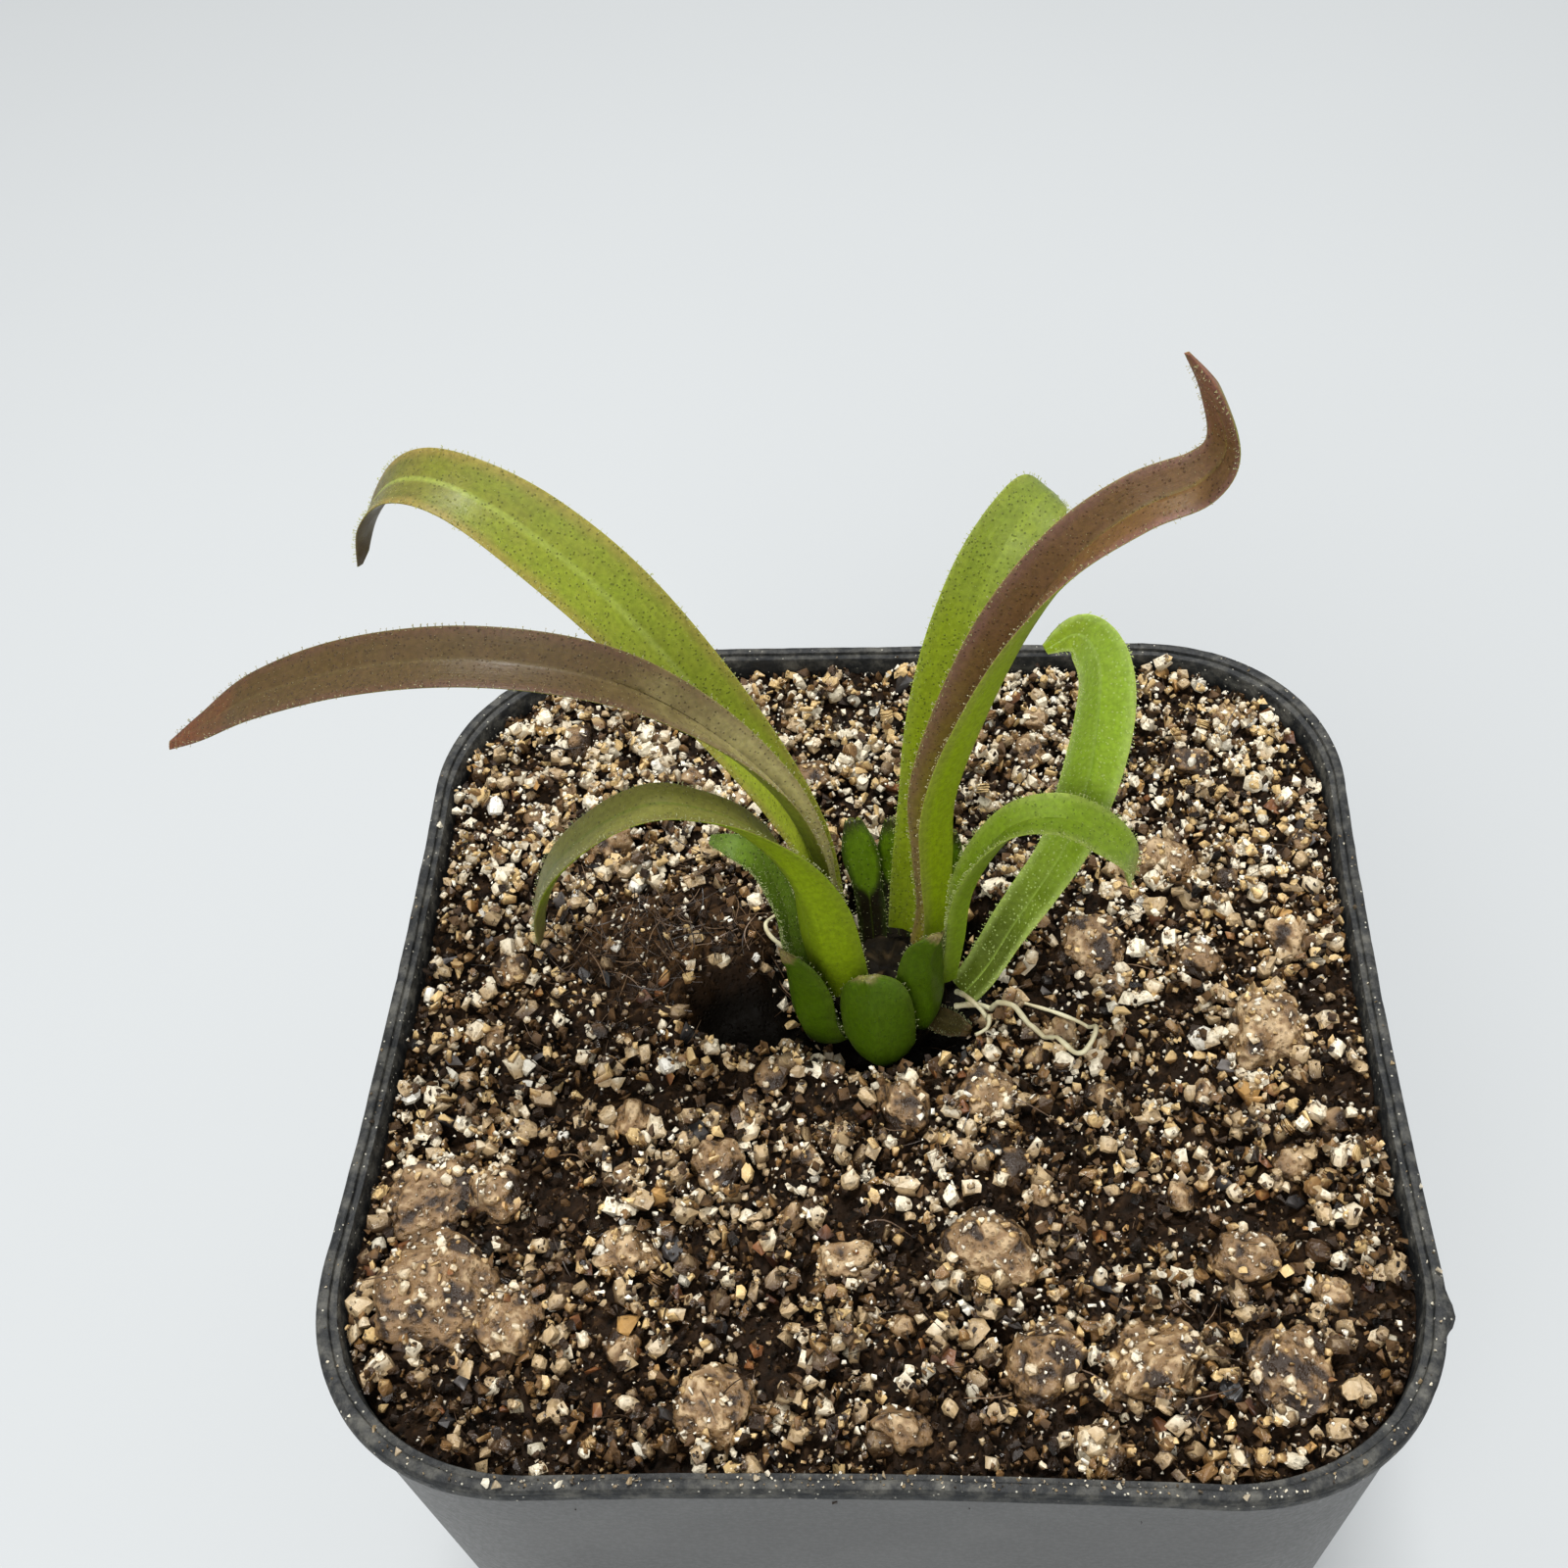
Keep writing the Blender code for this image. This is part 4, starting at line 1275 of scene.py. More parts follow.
SHORT_LEAVES: dict[str, tuple[float, float, tuple[Row, ...]]] = {
    "scale_front": (265, 34, (
        (-0.3, -3.8, -5.9, 3.8, 0, 12), (-0.3, -6.5, -5.0, 4.8, 0, 12),
        (-0.5, -7.4, -2.6, 5.9, 0, 10), (-0.7, -6.9, 1.0, 6.1, 0, 8),
        (-0.9, -6.2, 3.3, 4.7, 0, 6), (-1.1, -5.8, 4.5, 1.5, 0, 6),
    )),
    "scale_left": (252, 30, (
        (-2.9, -2.9, -5.9, 3.2, 0, 12), (-5.0, -4.6, -4.7, 4.7, 0, 12),
        (-6.0, -5.0, -1.8, 5.2, 0, 10), (-6.2, -4.8, 1.6, 5.2, 0, 8),
        (-6.5, -4.8, 4.4, 3.6, 0, 8), (-7.1, -5.0, 6.3, 1.1, 0, 6),
    )),
    "scale_right": (304, 30, (
        (2.4, -2.8, -5.6, 2.9, 0, 12), (3.0, -4.3, -2.6, 4.2, 0, 10),
        (3.0, -4.2, 1.6, 4.5, 0, 8), (3.2, -3.9, 4.8, 3.5, 0, 8),
        (4.0, -3.9, 6.9, 1.2, 0, 6),
    )),
    "scale_back": (100, 30, (
        (-1.1, 2.8, -4.0, 2.2, 0, 10), (-1.5, 5.4, 1.2, 2.5, 0, 10),
        (-2.1, 6.7, 4.2, 3.0, 0, 8), (-2.5, 7.6, 6.4, 1.4, 0, 6),
    )),
    "scale_back_middle": (80, 30, (
        (1.0, 3.2, -5.0, 2.0, 0, 10), (0.6, 6.8, 0.0, 2.2, 0, 10),
        (0.5, 7.6, 3.4, 2.4, 0, 8), (0.4, 8.2, 5.8, 1.0, 0, 6),
    )),
    "scale_back_right": (45, 30, (
        (3.0, 2.4, -4.8, 2.0, 0, 10), (5.4, 5.2, 0.2, 2.0, 0, 10),
        (5.4, 6.6, 3.4, 1.8, 0, 8), (5.2, 7.4, 5.2, 0.9, 0, 6),
    )),
    "scale_withered": (325, 16, (
        (3.0, -2.0, -5.6, 2.2, 0, 8), (4.8, -3.2, -5.3, 2.4, 0, 6),
        (6.2, -4.0, -4.9, 1.0, 0, 4),
    )),
}

# Points from the crown.
ROOTS: dict[str, tuple[Row, ...]] = {
    "root_right_long": (
        (5.2, -2.8, -3.2), (7.1, -3.7, -1.9), (9.7, -5.5, -1.4), (11.9, -7.2, -1.4),
        (13.3, -8.6, -1.4), (14.5, -8.6, -1.4), (15.3, -7.4, -1.3), (14.9, -6.2, -1.2),
        (12.9, -5.0, -1.2), (10.3, -4.0, -1.2),
    ),
    "root_right_short": (
        (5.3, -1.7, -2.9), (6.1, -3.4, -1.3), (7.3, -4.9, -1.3), (7.6, -6.1, -1.7),
        (6.6, -6.7, -2.2),
    ),
    "root_left": (
        (-4.9, 0.9, -3.4), (-7.2, 1.3, -1.9), (-8.8, 1.7, -0.5), (-9.4, 3.1, -0.6),
        (-8.8, 4.6, -1.4),
    ),
}

# The place and the radius of each lump.
PUMICE: tuple[Row, ...] = (
    (-31.0, -15.5, 3.4), (-26.5, -15.5, 2.3), (-29.5, -23.0, 4.6), (-24.0, -25.0, 3.1),
    (-10.0, -30.5, 3.0), (2.0, -8.0, 2.6), (8.0, -7.0, 2.2), (11.0, -27.5, 3.0),
    (8.0, -19.5, 3.7), (18.5, -27.5, 3.9), (27.0, -28.0, 3.0), (28.0, -2.0, 3.5),
    (16.0, 7.0, 3.1), (-28.0, 4.0, 1.8), (22.0, 15.0, 2.4), (25.0, 25.0, 2.2),
    (-11.0, -13.0, 2.1), (-2.0, -20.5, 1.8), (-22.0, 17.0, 2.0), (25.0, -20.0, 2.2),
    (-17.5, -9.0, 1.7), (24.0, 5.0, 2.0), (31.0, 7.0, 1.9), (-17.0, -20.0, 2.0),
    (-6.0, 24.0, 1.9), (12.0, 27.0, 1.8), (-15.0, 30.0, 1.7), (2.0, -32.0, 2.0),
)

# The colours are those of the blade, base, tip, back, margin, midrib and glands.
LEAF_FINISHES: dict[str, LeafFinish] = {
    # Pale base, brightened and carried halfway up: painted light over the shade on the lower leaf.
    "leaf_upper_left": LeafFinish(
        "leaf_yellow_green", tint(126, 139, 38), tint(176, 192, 50), tint(82, 68, 40),
        tint(104, 112, 34), tint(148, 124, 68), tint(146, 158, 70), tint(62, 64, 20),
        base_end=0.55, tip_start=0.55, margin_share=0.6, midrib_share=0.6, gland_share=0.8),
    "leaf_far_left": LeafFinish(
        "leaf_bronze_far", tint(78, 62, 33), tint(204, 196, 130), tint(100, 60, 36),
        tint(112, 122, 34), tint(92, 62, 52), tint(96, 84, 50), tint(46, 31, 18),
        base_end=0.55, tip_start=0.86, margin_share=0.5, midrib_share=0.25, gland_share=0.75,
        base_start=0.14),
    "leaf_left_arching": LeafFinish(
        "leaf_olive", tint(106, 106, 44), tint(130, 150, 20), tint(110, 100, 60),
        tint(124, 146, 18), tint(96, 84, 48), tint(82, 98, 22), tint(62, 58, 24),
        base_end=0.5, tip_start=0.8, margin_share=0.45, midrib_share=0.5, gland_share=0.6),
    "leaf_left_short": LeafFinish(
        "leaf_blue_green", tint(98, 124, 36), tint(88, 116, 22), tint(86, 108, 34),
        tint(84, 110, 20), tint(62, 80, 28), tint(110, 134, 52), tint(36, 46, 14),
        base_end=0.3, tip_start=0.85, margin_share=0.4, midrib_share=0.25, gland_share=0.7),
    "leaf_tall_middle": LeafFinish(
        "leaf_light_green", tint(134, 150, 26), tint(124, 142, 18), tint(108, 122, 48),
        tint(130, 150, 22), tint(138, 142, 62), tint(142, 160, 44), tint(52, 58, 14),
        base_end=0.3, tip_start=0.55, margin_share=0.4, midrib_share=0.25, gland_share=0.85),
    "leaf_right_kinked": LeafFinish(
        "leaf_bronze_kinked", tint(100, 74, 40), tint(132, 128, 32), tint(122, 80, 62),
        tint(136, 158, 14), tint(122, 86, 82), tint(112, 100, 44), tint(56, 36, 20),
        base_end=0.55, tip_start=0.84, margin_share=0.55, midrib_share=0.4, gland_share=0.7),
    "leaf_right_curled": LeafFinish(
        "leaf_bright_green", tint(146, 176, 48), tint(74, 88, 16), tint(130, 152, 16),
        tint(140, 164, 24), tint(178, 196, 108), tint(164, 192, 84), tint(196, 216, 130),
        base_end=0.52, tip_start=0.86, margin_share=0.6, midrib_share=0.6, gland_share=0.7,
        base_start=0.12),
    "leaf_right_arching": LeafFinish(
        "leaf_fresh_green", tint(116, 142, 26), tint(92, 112, 24), tint(160, 166, 88),
        tint(112, 138, 26), tint(152, 158, 88), tint(138, 162, 48), tint(74, 92, 22),
        base_end=0.42, tip_start=0.86, margin_share=0.4, midrib_share=0.2, gland_share=0.6),
}

SCALE_FINISH = LeafFinish(
    "scale_dark_green", tint(62, 84, 7), tint(44, 62, 6), tint(112, 100, 60),
    tint(64, 88, 6), tint(70, 72, 30), tint(60, 82, 10), tint(30, 42, 8),
    base_end=0.3, tip_start=0.94, margin_share=0.4, midrib_share=0.15, gland_share=0.6)
BACK_SCALE_FINISH = LeafFinish(
    "scale_back_green", tint(100, 132, 14), tint(30, 22, 13), tint(52, 50, 22),
    tint(84, 112, 12), tint(44, 56, 16), tint(112, 142, 24), tint(34, 44, 10),
    base_end=0.64, tip_start=0.86, margin_share=0.75, midrib_share=0.15, gland_share=0.5,
    base_start=0.52, base_point=0.14)
WITHERED_FINISH = LeafFinish(
    "scale_withered_brown", tint(70, 62, 30), tint(38, 40, 16), tint(92, 70, 40),
    tint(52, 48, 22), tint(88, 70, 44), tint(84, 76, 44), tint(30, 24, 12))
# The stem's skin: brown tissue, painted near black as painted shade in the rosette's heart.
STEM_SKIN_AND_SHADE = GrainFinish(
    "crown_stem_skin_and_shade", tint(10, 8, 5), tint(26, 21, 12), tint(58, 46, 28),
    roughness=0.8, pit_scale=1300.0, pit_shade_share=0.4, bump=0.7, gloss=0.08)

LEAF_SLOTS: dict[str, str] = {
    "leaf_far_left": "leaf_bronze",
    "leaf_right_kinked": "leaf_bronze",
    "leaf_left_arching": "leaf_olive",
    "leaf_left_short": "leaf_deep_green",
}


def tube(work: Work, course: list[Vector], radii: list[float], sides: int) -> None:
    """Extrudes a round tube along a course, and closes its ends.

    Args:
        work: the mesh that it is added to.
        course: the points of its middle line.
        radii: its radius at each.
        sides: how many sides it has.
    """
    made = bmesh.ops.create_circle(work, segments=sides, radius=1.0)["verts"]
    border = list({edge for vert in made for edge in vert.link_edges})
    bmesh.ops.edgeloop_fill(work, edges=border)
    ring = made
    up = Vector((0, 0, 1))
    shape = [vert.co.copy() for vert in made]
    for k, spot in enumerate(course):
        ahead = (course[min(k + 1, len(course) - 1)] - course[max(k - 1, 0)]).normalized()
        side = ahead.cross(up).normalized() if abs(ahead.dot(up)) < 0.98 else Vector((1, 0, 0))
        face = side.cross(ahead)
        if k:
            fresh, border = draw_out(work, border)
            # Each new point lies on the old one that it was drawn from.
            ring = [min(fresh, key=lambda new: (new.co - old.co).length_squared) for old in ring]
        for vert, at in zip(ring, shape):
            vert.co = spot + (side * at.x + face * at.y) * radii[k]
    bmesh.ops.edgeloop_fill(work, edges=border)


@dataclass
class Rosette:
    """The plant: its long leaves, scale leaves, crown, glandular hairs and roots."""

    effects: Effects
    bed: "SoilBed"
    stem_radius: float = 4.4
    root_radius: float = 0.24
    root_rest: float = 0.5
    scale_hairs: int = 160
    raggedness: float = 0.55
    leaf_smooth: float = 70.0
    skin_smooth: float = 60.0
    hair_stalk: Colour = tint(190, 188, 150)
    hair_head: Colour = tint(200, 196, 150)
    stem_waves: tuple[Pair, ...] = ((1.3, 0.5), (4.0, 0.3))
    root_steps: int = 14
    root_reach: int = 4
    root_sink: float = 0.05
    root_thinning: float = 0.45
    root_sides: int = 10
    seed: int = 11
    draw: random.Random = field(default_factory=random.Random)

    def build(self) -> None:
        """Builds every piece of the plant."""
        self.draw.seed(self.seed)
        for name, (heading, curl, rows) in LONG_LEAVES.items():
            finish = LEAF_FINISHES[name]
            slot = LEAF_SLOTS.get(name, "leaf_green")
            leaf = Blade(name + "_blade", heading, curl, rows, slot)
            finish_piece(leaf.name, leaf.build_mesh(), finish.build(self.effects), (name,),
                         self.leaf_smooth)
            self.add_hairs(name + "_hairs", [leaf], finish)
        self.build_scales()
        self.build_stem()
        self.build_roots()

    def add_hairs(self, name: str, leaves: list[Blade], finish: LeafFinish) -> None:
        """Grows the hairs of one or more leaves as one piece.

        Args:
            name: the piece's name.
            leaves: the leaves that they grow on.
            finish: the finish whose colours they take.
        """
        scatter = Scatter()
        shape = scatter.add_shape(hair_shape())
        for leaf in leaves:
            leaf.grow_hairs(scatter, shape, self.draw)
        stalk = blend(finish.midrib, self.hair_stalk, 0.25)
        head = blend(finish.midrib, self.hair_head, 0.5)
        coat = HairFinish(finish.name + "_hair", stalk, head)
        finish_piece(name, scatter.close(), coat.build(self.effects))

    def build_scales(self) -> None:
        """The short scale leaves round the crown."""
        green = SCALE_FINISH.build(self.effects)
        brown = WITHERED_FINISH.build(self.effects)
        back = BACK_SCALE_FINISH.build(self.effects)
        leaves = []
        for name, (heading, curl, rows) in SHORT_LEAVES.items():
            leaf = Blade(name, heading, curl, rows, "leaf_deep_green", stations=60, ring=48,
                         middle=0.75, edge=0.34, ripple=0.12, hairs=self.scale_hairs,
                         ragged=self.raggedness)
            coat = brown if name == "scale_withered" else back if "back" in name else green
            finish_piece(name, leaf.build_mesh(), coat, (), self.leaf_smooth)
            leaves.append(leaf)
        self.add_hairs("scale_hairs", leaves, SCALE_FINISH)

    def build_stem(self) -> None:
        """The short stem in the middle, with its scarred skin darkened by painted shade."""
        profile = ((self.stem_radius - 1.0, -13.0), (self.stem_radius - 0.4, -9.0),
                   (self.stem_radius, -5.8), (self.stem_radius, -4.2),
                   (self.stem_radius - 0.5, -2.9), (self.stem_radius - 1.9, -2.0))
        work = bmesh.new()
        tone = work.verts.layers.float.new("tone")
        points = [(0.0, profile[0][1]), *profile, (0.0, profile[-1][1])]
        verts = [work.verts.new((radius, 0, z)) for radius, z in points]
        edges = [work.edges.new(pair) for pair in zip(verts, verts[1:])]
        bmesh.ops.spin(work, geom=verts + edges, axis=(0, 0, 1), cent=(0, 0, 0), steps=48,
                       angle=math.tau, use_merge=True)
        bmesh.ops.remove_doubles(work, verts=work.verts, dist=0.001)
        bmesh.ops.subdivide_edges(work, edges=work.edges, cuts=2, use_grid_fill=True)
        for vert in work.verts:
            rough = ripples(vert.co, self.stem_waves)
            vert.co += Vector((vert.co.x, vert.co.y, 0)) * rough * 0.1
            vert.co.z += rough * 0.6
            # Painted light and shade: the skin is lighter on its bumps and darker in its dips.
            vert[tone] = clip(0.4 + rough * 1.4)
        bmesh.ops.translate(work, vec=CROWN, verts=work.verts)
        bmesh.ops.recalc_face_normals(work, faces=work.faces)
        finish_piece("crown_stem", work, STEM_SKIN_AND_SHADE.build(self.effects),
                     ("crown",), self.skin_smooth)

    def build_roots(self) -> None:
        """The thin roots that lie on the soil."""
        skin = RootFinish().build(self.effects)
        for name, points in ROOTS.items():
            count = self.root_steps * len(points)
            course = [Vector(point) + CROWN for point in smooth_points(points, count)]
            rests = [self.bed.rest(spot.x, spot.y, self.root_rest) for spot in course]
            for k, spot in enumerate(course):
                near = rests[max(0, k - self.root_reach):k + self.root_reach + 1]
                spot.z = max(spot.z, sum(near) / len(near) - self.root_sink)
            radii = []
            for k, spot in enumerate(course):
                thin = 1 - self.root_thinning * k / len(course)
                radii.append(self.root_radius * thin * (1 + 0.25 * noise.noise(spot * 1.1)))
            work = bmesh.new()
            tube(work, course, radii, self.root_sides)
            bmesh.ops.recalc_face_normals(work, faces=work.faces)
            finish_piece(name + "_strand", work, skin, (name,), self.skin_smooth)


# Soil


@dataclass(frozen=True)
class GrainSort:
    """One sort of grain: how many are dropped, and how they look and lie.

    The sizes are in millimetres. Flatness is height over width, sink is the share of the
    radius that sinks in, and peat is how likely a grain is on bare peat, from 0 to 1.
    """

    count: int
    sizes: Pair
    flatness: float
    sink: float
    peat: float
    finish: GrainFinish


GRAINS: dict[GrainKind, GrainSort] = {
    GrainKind.SLATE: GrainSort(90, (1.2, 2.4), 0.35, 0.4, 0.5, GrainFinish(
        "slate_chip", tint(30, 28, 28), tint(62, 58, 56), tint(108, 102, 98),
        roughness=0.5, pit_shade_share=0.3, bump=0.4)),
    GrainKind.BARK: GrainSort(320, (0.8, 2.0), 0.45, 0.35, 0.5, GrainFinish(
        "bark_sliver", tint(52, 28, 14), tint(122, 76, 40), tint(186, 144, 84),
        roughness=0.42, pit_shade_share=0.3)),
    GrainKind.PERLITE: GrainSort(300, (0.6, 1.5), 0.85, 0.3, 0.25, GrainFinish(
        "perlite_bead", tint(150, 138, 112), tint(208, 200, 180), tint(244, 240, 228),
        roughness=0.4, pit_scale=2600.0, pit_shade_share=0.4, bump=0.6)),
    GrainKind.GRIT: GrainSort(5400, (0.42, 1.6), 0.8, 0.3, 0.05, GrainFinish(
        "cream_grit", tint(70, 50, 31), tint(186, 160, 120), tint(246, 234, 206),
        roughness=0.26, pit_scale=2600.0, bump=0.6)),
    GrainKind.VERMICULITE: GrainSort(6600, (0.36, 1.35), 0.65, 0.3, 0.1, GrainFinish(
        "vermiculite_grain", tint(34, 23, 13), tint(128, 94, 54), tint(222, 190, 132),
        roughness=0.24, pit_scale=2600.0, pit_shade_share=0.4)),
    # The near-white end of the fine grains is pale sand, and also painted glints on wet grains.
    GrainKind.SAND: GrainSort(12900, (0.2, 0.58), 0.9, 0.3, 0.5, GrainFinish(
        "fine_grain_and_glint", tint(30, 21, 13), tint(116, 92, 62), tint(252, 244, 222),
        roughness=0.16, pit_scale=3200.0, pit_shade_share=0.2, bump=0.3)),
}

PEAT_FINISH = GrainFinish(
    "peat_ground", tint(10, 6, 2), tint(36, 23, 11), tint(92, 66, 40),
    roughness=0.6, pit_scale=2400.0, pit_shade_share=0.6, bump=0.9, gloss=0.1)
PUMICE_FINISH = GrainFinish(
    "pumice_stone", tint(46, 31, 17), tint(134, 104, 68), tint(196, 168, 128),
    roughness=0.34, pit_scale=2600.0, bump=0.9)
CRUMB_FINISH = GrainFinish(
    "peat_crumb", tint(13, 8, 3), tint(44, 29, 15), tint(98, 72, 44),
    roughness=0.4, pit_scale=2400.0, bump=0.8, gloss=0.25)
FIBRE_FINISH = GrainFinish(
    "peat_fibre", tint(20, 14, 9), tint(62, 46, 32), tint(118, 92, 66),
    roughness=0.4, pit_scale=1800.0, pit_shade_share=0.2, bump=0.3, gloss=0.4)
RIM_FINISH = GrainFinish(
    "rim_grit", tint(40, 30, 20), tint(150, 130, 98), tint(228, 220, 198),
    roughness=0.35, pit_scale=2600.0, pit_shade_share=0.3, bump=0.4)


@dataclass
class SoilBed:
    """The potting mix: dark peat under pumice lumps, packed grains, crumbs and fibres."""

    effects: Effects
    pot: NurseryPot
    drop: float = 1.7
    wave: float = 0.55
    dish_radius: float = 7.2
    dish_slope: float = 3.4
    dish_floor: float = 6.8
    mound: float = 1.7
    mound_place: tuple[float, float, float, float] = (-16.5, 5.5, 8.5, 6.5)
    hollow: tuple[float, float, float, float] = (-10.4, 0.7, 3.8, 4.6)
    cells: int = 210
    pixel: float = 0.2
    wall_gap: float = 0.12
    ground_depths: Row = (60.0, 40.0, 20.0, 3.0)
    dark_patches: tuple[Row, ...] = ((30, 0.2, 2.3, 0.05), (60, 0.62, 1.5, 0.1))
    # Painted light: how much lighter each grain's top is than its middle.
    grain_top_light: float = 0.38
    grain_skew: float = 1.9
    grain_tilt: float = 0.6
    grain_length: Pair = (0.85, 1.35)
    grain_width: Pair = (0.75, 1.1)
    lump_sink: float = 0.75
    # Painted light: how much lighter each crumb's top is than its middle.
    crumb_top_light: float = 0.3
    crumb_least: float = 0.3
    crumb_more: float = 0.95
    crumb_skew: float = 1.8
    crumb_sink: float = 0.4
    fibre_lengths: Pair = (1.2, 4.0)
    fibre_reach: float = 33.0
    mound_fibres: tuple[Pair, Pair] = ((-16.5, 4.8), (5.0, 3.6))
    pebble_count: int = 46
    rim_count: int = 360
    wall_specks: tuple[tuple[float, float, float], ...] = (
        (-2.2, 73.0, 0.7), (17.4, 70.7, 0.6), (-19.0, 71.8, 0.25), (6.3, 72.2, 0.22),
    )
    crumb_count: int = 2600
    late_crumbs: int = 2800
    fibre_count: int = 620
    seed: int = 23

    def __post_init__(self) -> None:
        """Prepares the source of chance and the height raster."""
        self.draw = random.Random(self.seed)
        self.size = int(self.pot.width / self.pixel)
        self.heights = np.zeros((self.size, self.size), np.float32)
        self.on_lump = np.zeros((self.size, self.size), bool)
        scale = self.half(POT_TOP - self.drop) / (self.pot.width / 2)
        points = [self.pot.rim_point(k / 720) for k in range(720)]
        pairs = sorted((math.atan2(y, x) % math.tau, math.hypot(x, y) * scale)
                       for x, y in points)
        self.outline = tuple(zip(*pairs))

    def height(self, x: float, y: float) -> float:
        """The height of the soil's own surface, without its grains.

        Args:
            x, y: the place.

        Returns:
            The height there.
        """
        wave = noise.noise(Vector((x, y, 0)) * 0.11)
        wave += 0.6 * noise.noise(Vector((x, y, 9)) * 0.27)
        mound = self.mound * self.on_mound(x, y)
        level = POT_TOP - self.drop + self.wave * wave + mound
        level -= self.hollow[3] * self.in_hollow(x, y)
        reach = math.hypot(x - CROWN.x, y - CROWN.y)
        dip = clip((self.dish_radius + self.dish_slope - reach) / self.dish_slope)
        return level + (POT_TOP - self.dish_floor - level) * dip * dip * (3 - 2 * dip)

    def on_mound(self, x: float, y: float) -> float:
        """How high on the mound of bare fibrous peat a place lies.

        Args:
            x, y: the place.

        Returns:
            A share from 0 to 1.
        """
        at_x, at_y, wide, deep = self.mound_place
        return math.exp(-(((x - at_x) / wide) ** 2 + ((y - at_y) / deep) ** 2) ** 2)

    def in_hollow(self, x: float, y: float) -> float:
        """How deep in the hollow by the crown a place lies, where painted shade blackens the peat.

        Args:
            x, y: the place.

        Returns:
            A share from 0 to 1.
        """
        at_x, at_y, reach, _ = self.hollow
        return math.exp(-(((x - at_x) / reach) ** 2 + ((y - at_y) / (0.8 * reach)) ** 2) ** 2)

    def half(self, z: float) -> float:
        """Half the width of the soil: that of the pot's inner wall less a gap.

        Args:
            z: the height that it is read at.

        Returns:
            The half width there.
        """
        return self.pot.wall_half(z) - self.pot.wall - self.wall_gap

    def inside(self, x: float, y: float, margin: float) -> bool:
        """Tells whether a place lies inside the pot's wall.

        Args:
            x, y: the place.
            margin: how far inside it has to lie.

        Returns:
            Whether it does.
        """
        way = math.atan2(y, x) % math.tau
        limit = float(np.interp(way, self.outline[0], self.outline[1], period=math.tau))
        return math.hypot(x, y) < limit - margin * 1.15

    def square_place(self, u: float, v: float) -> float:
        """How far round a square of half width 1 a point of its edge lies.

        Args:
            u, v: the point.

        Returns:
            A share from 0 to 1, from the middle of the +X side.
        """
        if u >= 1 - 1e-9 and abs(v) < 1 + 1e-9:
            return (v / 8) % 1.0
        if v >= 1 - 1e-9:
            return 0.25 - u / 8
        if u <= -1 + 1e-9:
            return 0.5 - v / 8
        return 0.75 + u / 8

    def cell(self, x: float, y: float) -> tuple[int, int]:
        """Finds a place on the raster.

        Args:
            x, y: the place.

        Returns:
            Its row and its column.
        """
        reach = self.pot.width / 2
        return int((y + reach) / self.pixel), int((x + reach) / self.pixel)

    def finish(self, name: str, work: Work, coat: GrainFinish, smooth: float | None,
               nodes: tuple[str, ...] = ()) -> bpy.types.Object:
        """Makes a piece of the soil.

        Args:
            name: the piece's name.
            work: its mesh, which is freed.
            coat: its finish.
            smooth: as for finish_piece.
            nodes: the part's nodes that it stands for.

        Returns:
            The piece.
        """
        return finish_piece(name, work, coat.build(self.effects), nodes, smooth)

    def build(self) -> None:
        """Builds the bed and everything that lies in it."""
        ground = self.build_ground()
        lumps = self.build_lumps()
        self.read_heights([ground, lumps])
        self.scatter_crumbs("peat_crumbs_low", self.crumb_count)
        self.scatter_grains()
        self.scatter_crumbs("peat_crumbs_top", self.late_crumbs)
        self.scatter_fibres()
        self.scatter_grit()

    def build_ground(self) -> bpy.types.Object:
        """Builds the peat as a closed block with a crumbly top, and returns it."""
        work = bmesh.new()
        tone = work.verts.layers.float.new("tone")
        bmesh.ops.create_grid(work, x_segments=self.cells, y_segments=self.cells, size=1)
        scale = self.half(POT_TOP - self.drop) / (self.pot.width / 2)
        for vert in work.verts:
            u, v = vert.co.x, vert.co.y
            reach = max(abs(u), abs(v))
            x = y = 0.0
            if reach > 1e-6:
                x, y = self.pot.rim_point(self.square_place(u / reach, v / reach))
            x, y = x * reach * scale, y * reach * scale
            spot = Vector((x, y, 3.0))
            clod = noise.noise(spot * 0.3) * min(1.0, 6.0 * (1 - reach))
            coarse = noise.noise(spot * 0.75)
            fine = noise.noise(spot * 2.1)
            crumb = noise.noise(spot * 4.6)
            rough = 1.1 * clod + 0.55 * coarse + 0.3 * fine + 0.14 * crumb
            vert.co = (x, y, self.height(x, y) - 0.6 + rough)
            # Painted shade: the peat is darker where it lies low, as in the dish round the crown,
            # and black in the hollow.
            deep = clip((POT_TOP - 2.6 - vert.co.z) / 2.4)
            pale = 0.4 + 0.5 * fine + 0.4 * crumb + 0.3 * self.on_mound(x, y)
            vert[tone] = clip(pale) * (1 - deep) * (1 - self.in_hollow(x, y))
        border = [edge for edge in work.edges if edge.is_boundary]
        past = scale
        for z in self.ground_depths:
            fresh, border = draw_out(work, border)
            now = self.half(z) / (self.pot.width / 2)
            for vert in fresh:
                vert.co = (vert.co.x * now / past, vert.co.y * now / past, z)
            past = now
        bmesh.ops.edgeloop_fill(work, edges=border)
        bmesh.ops.recalc_face_normals(work, faces=work.faces)
        return self.finish("peat_ground", work, PEAT_FINISH, 180, ("soil",))

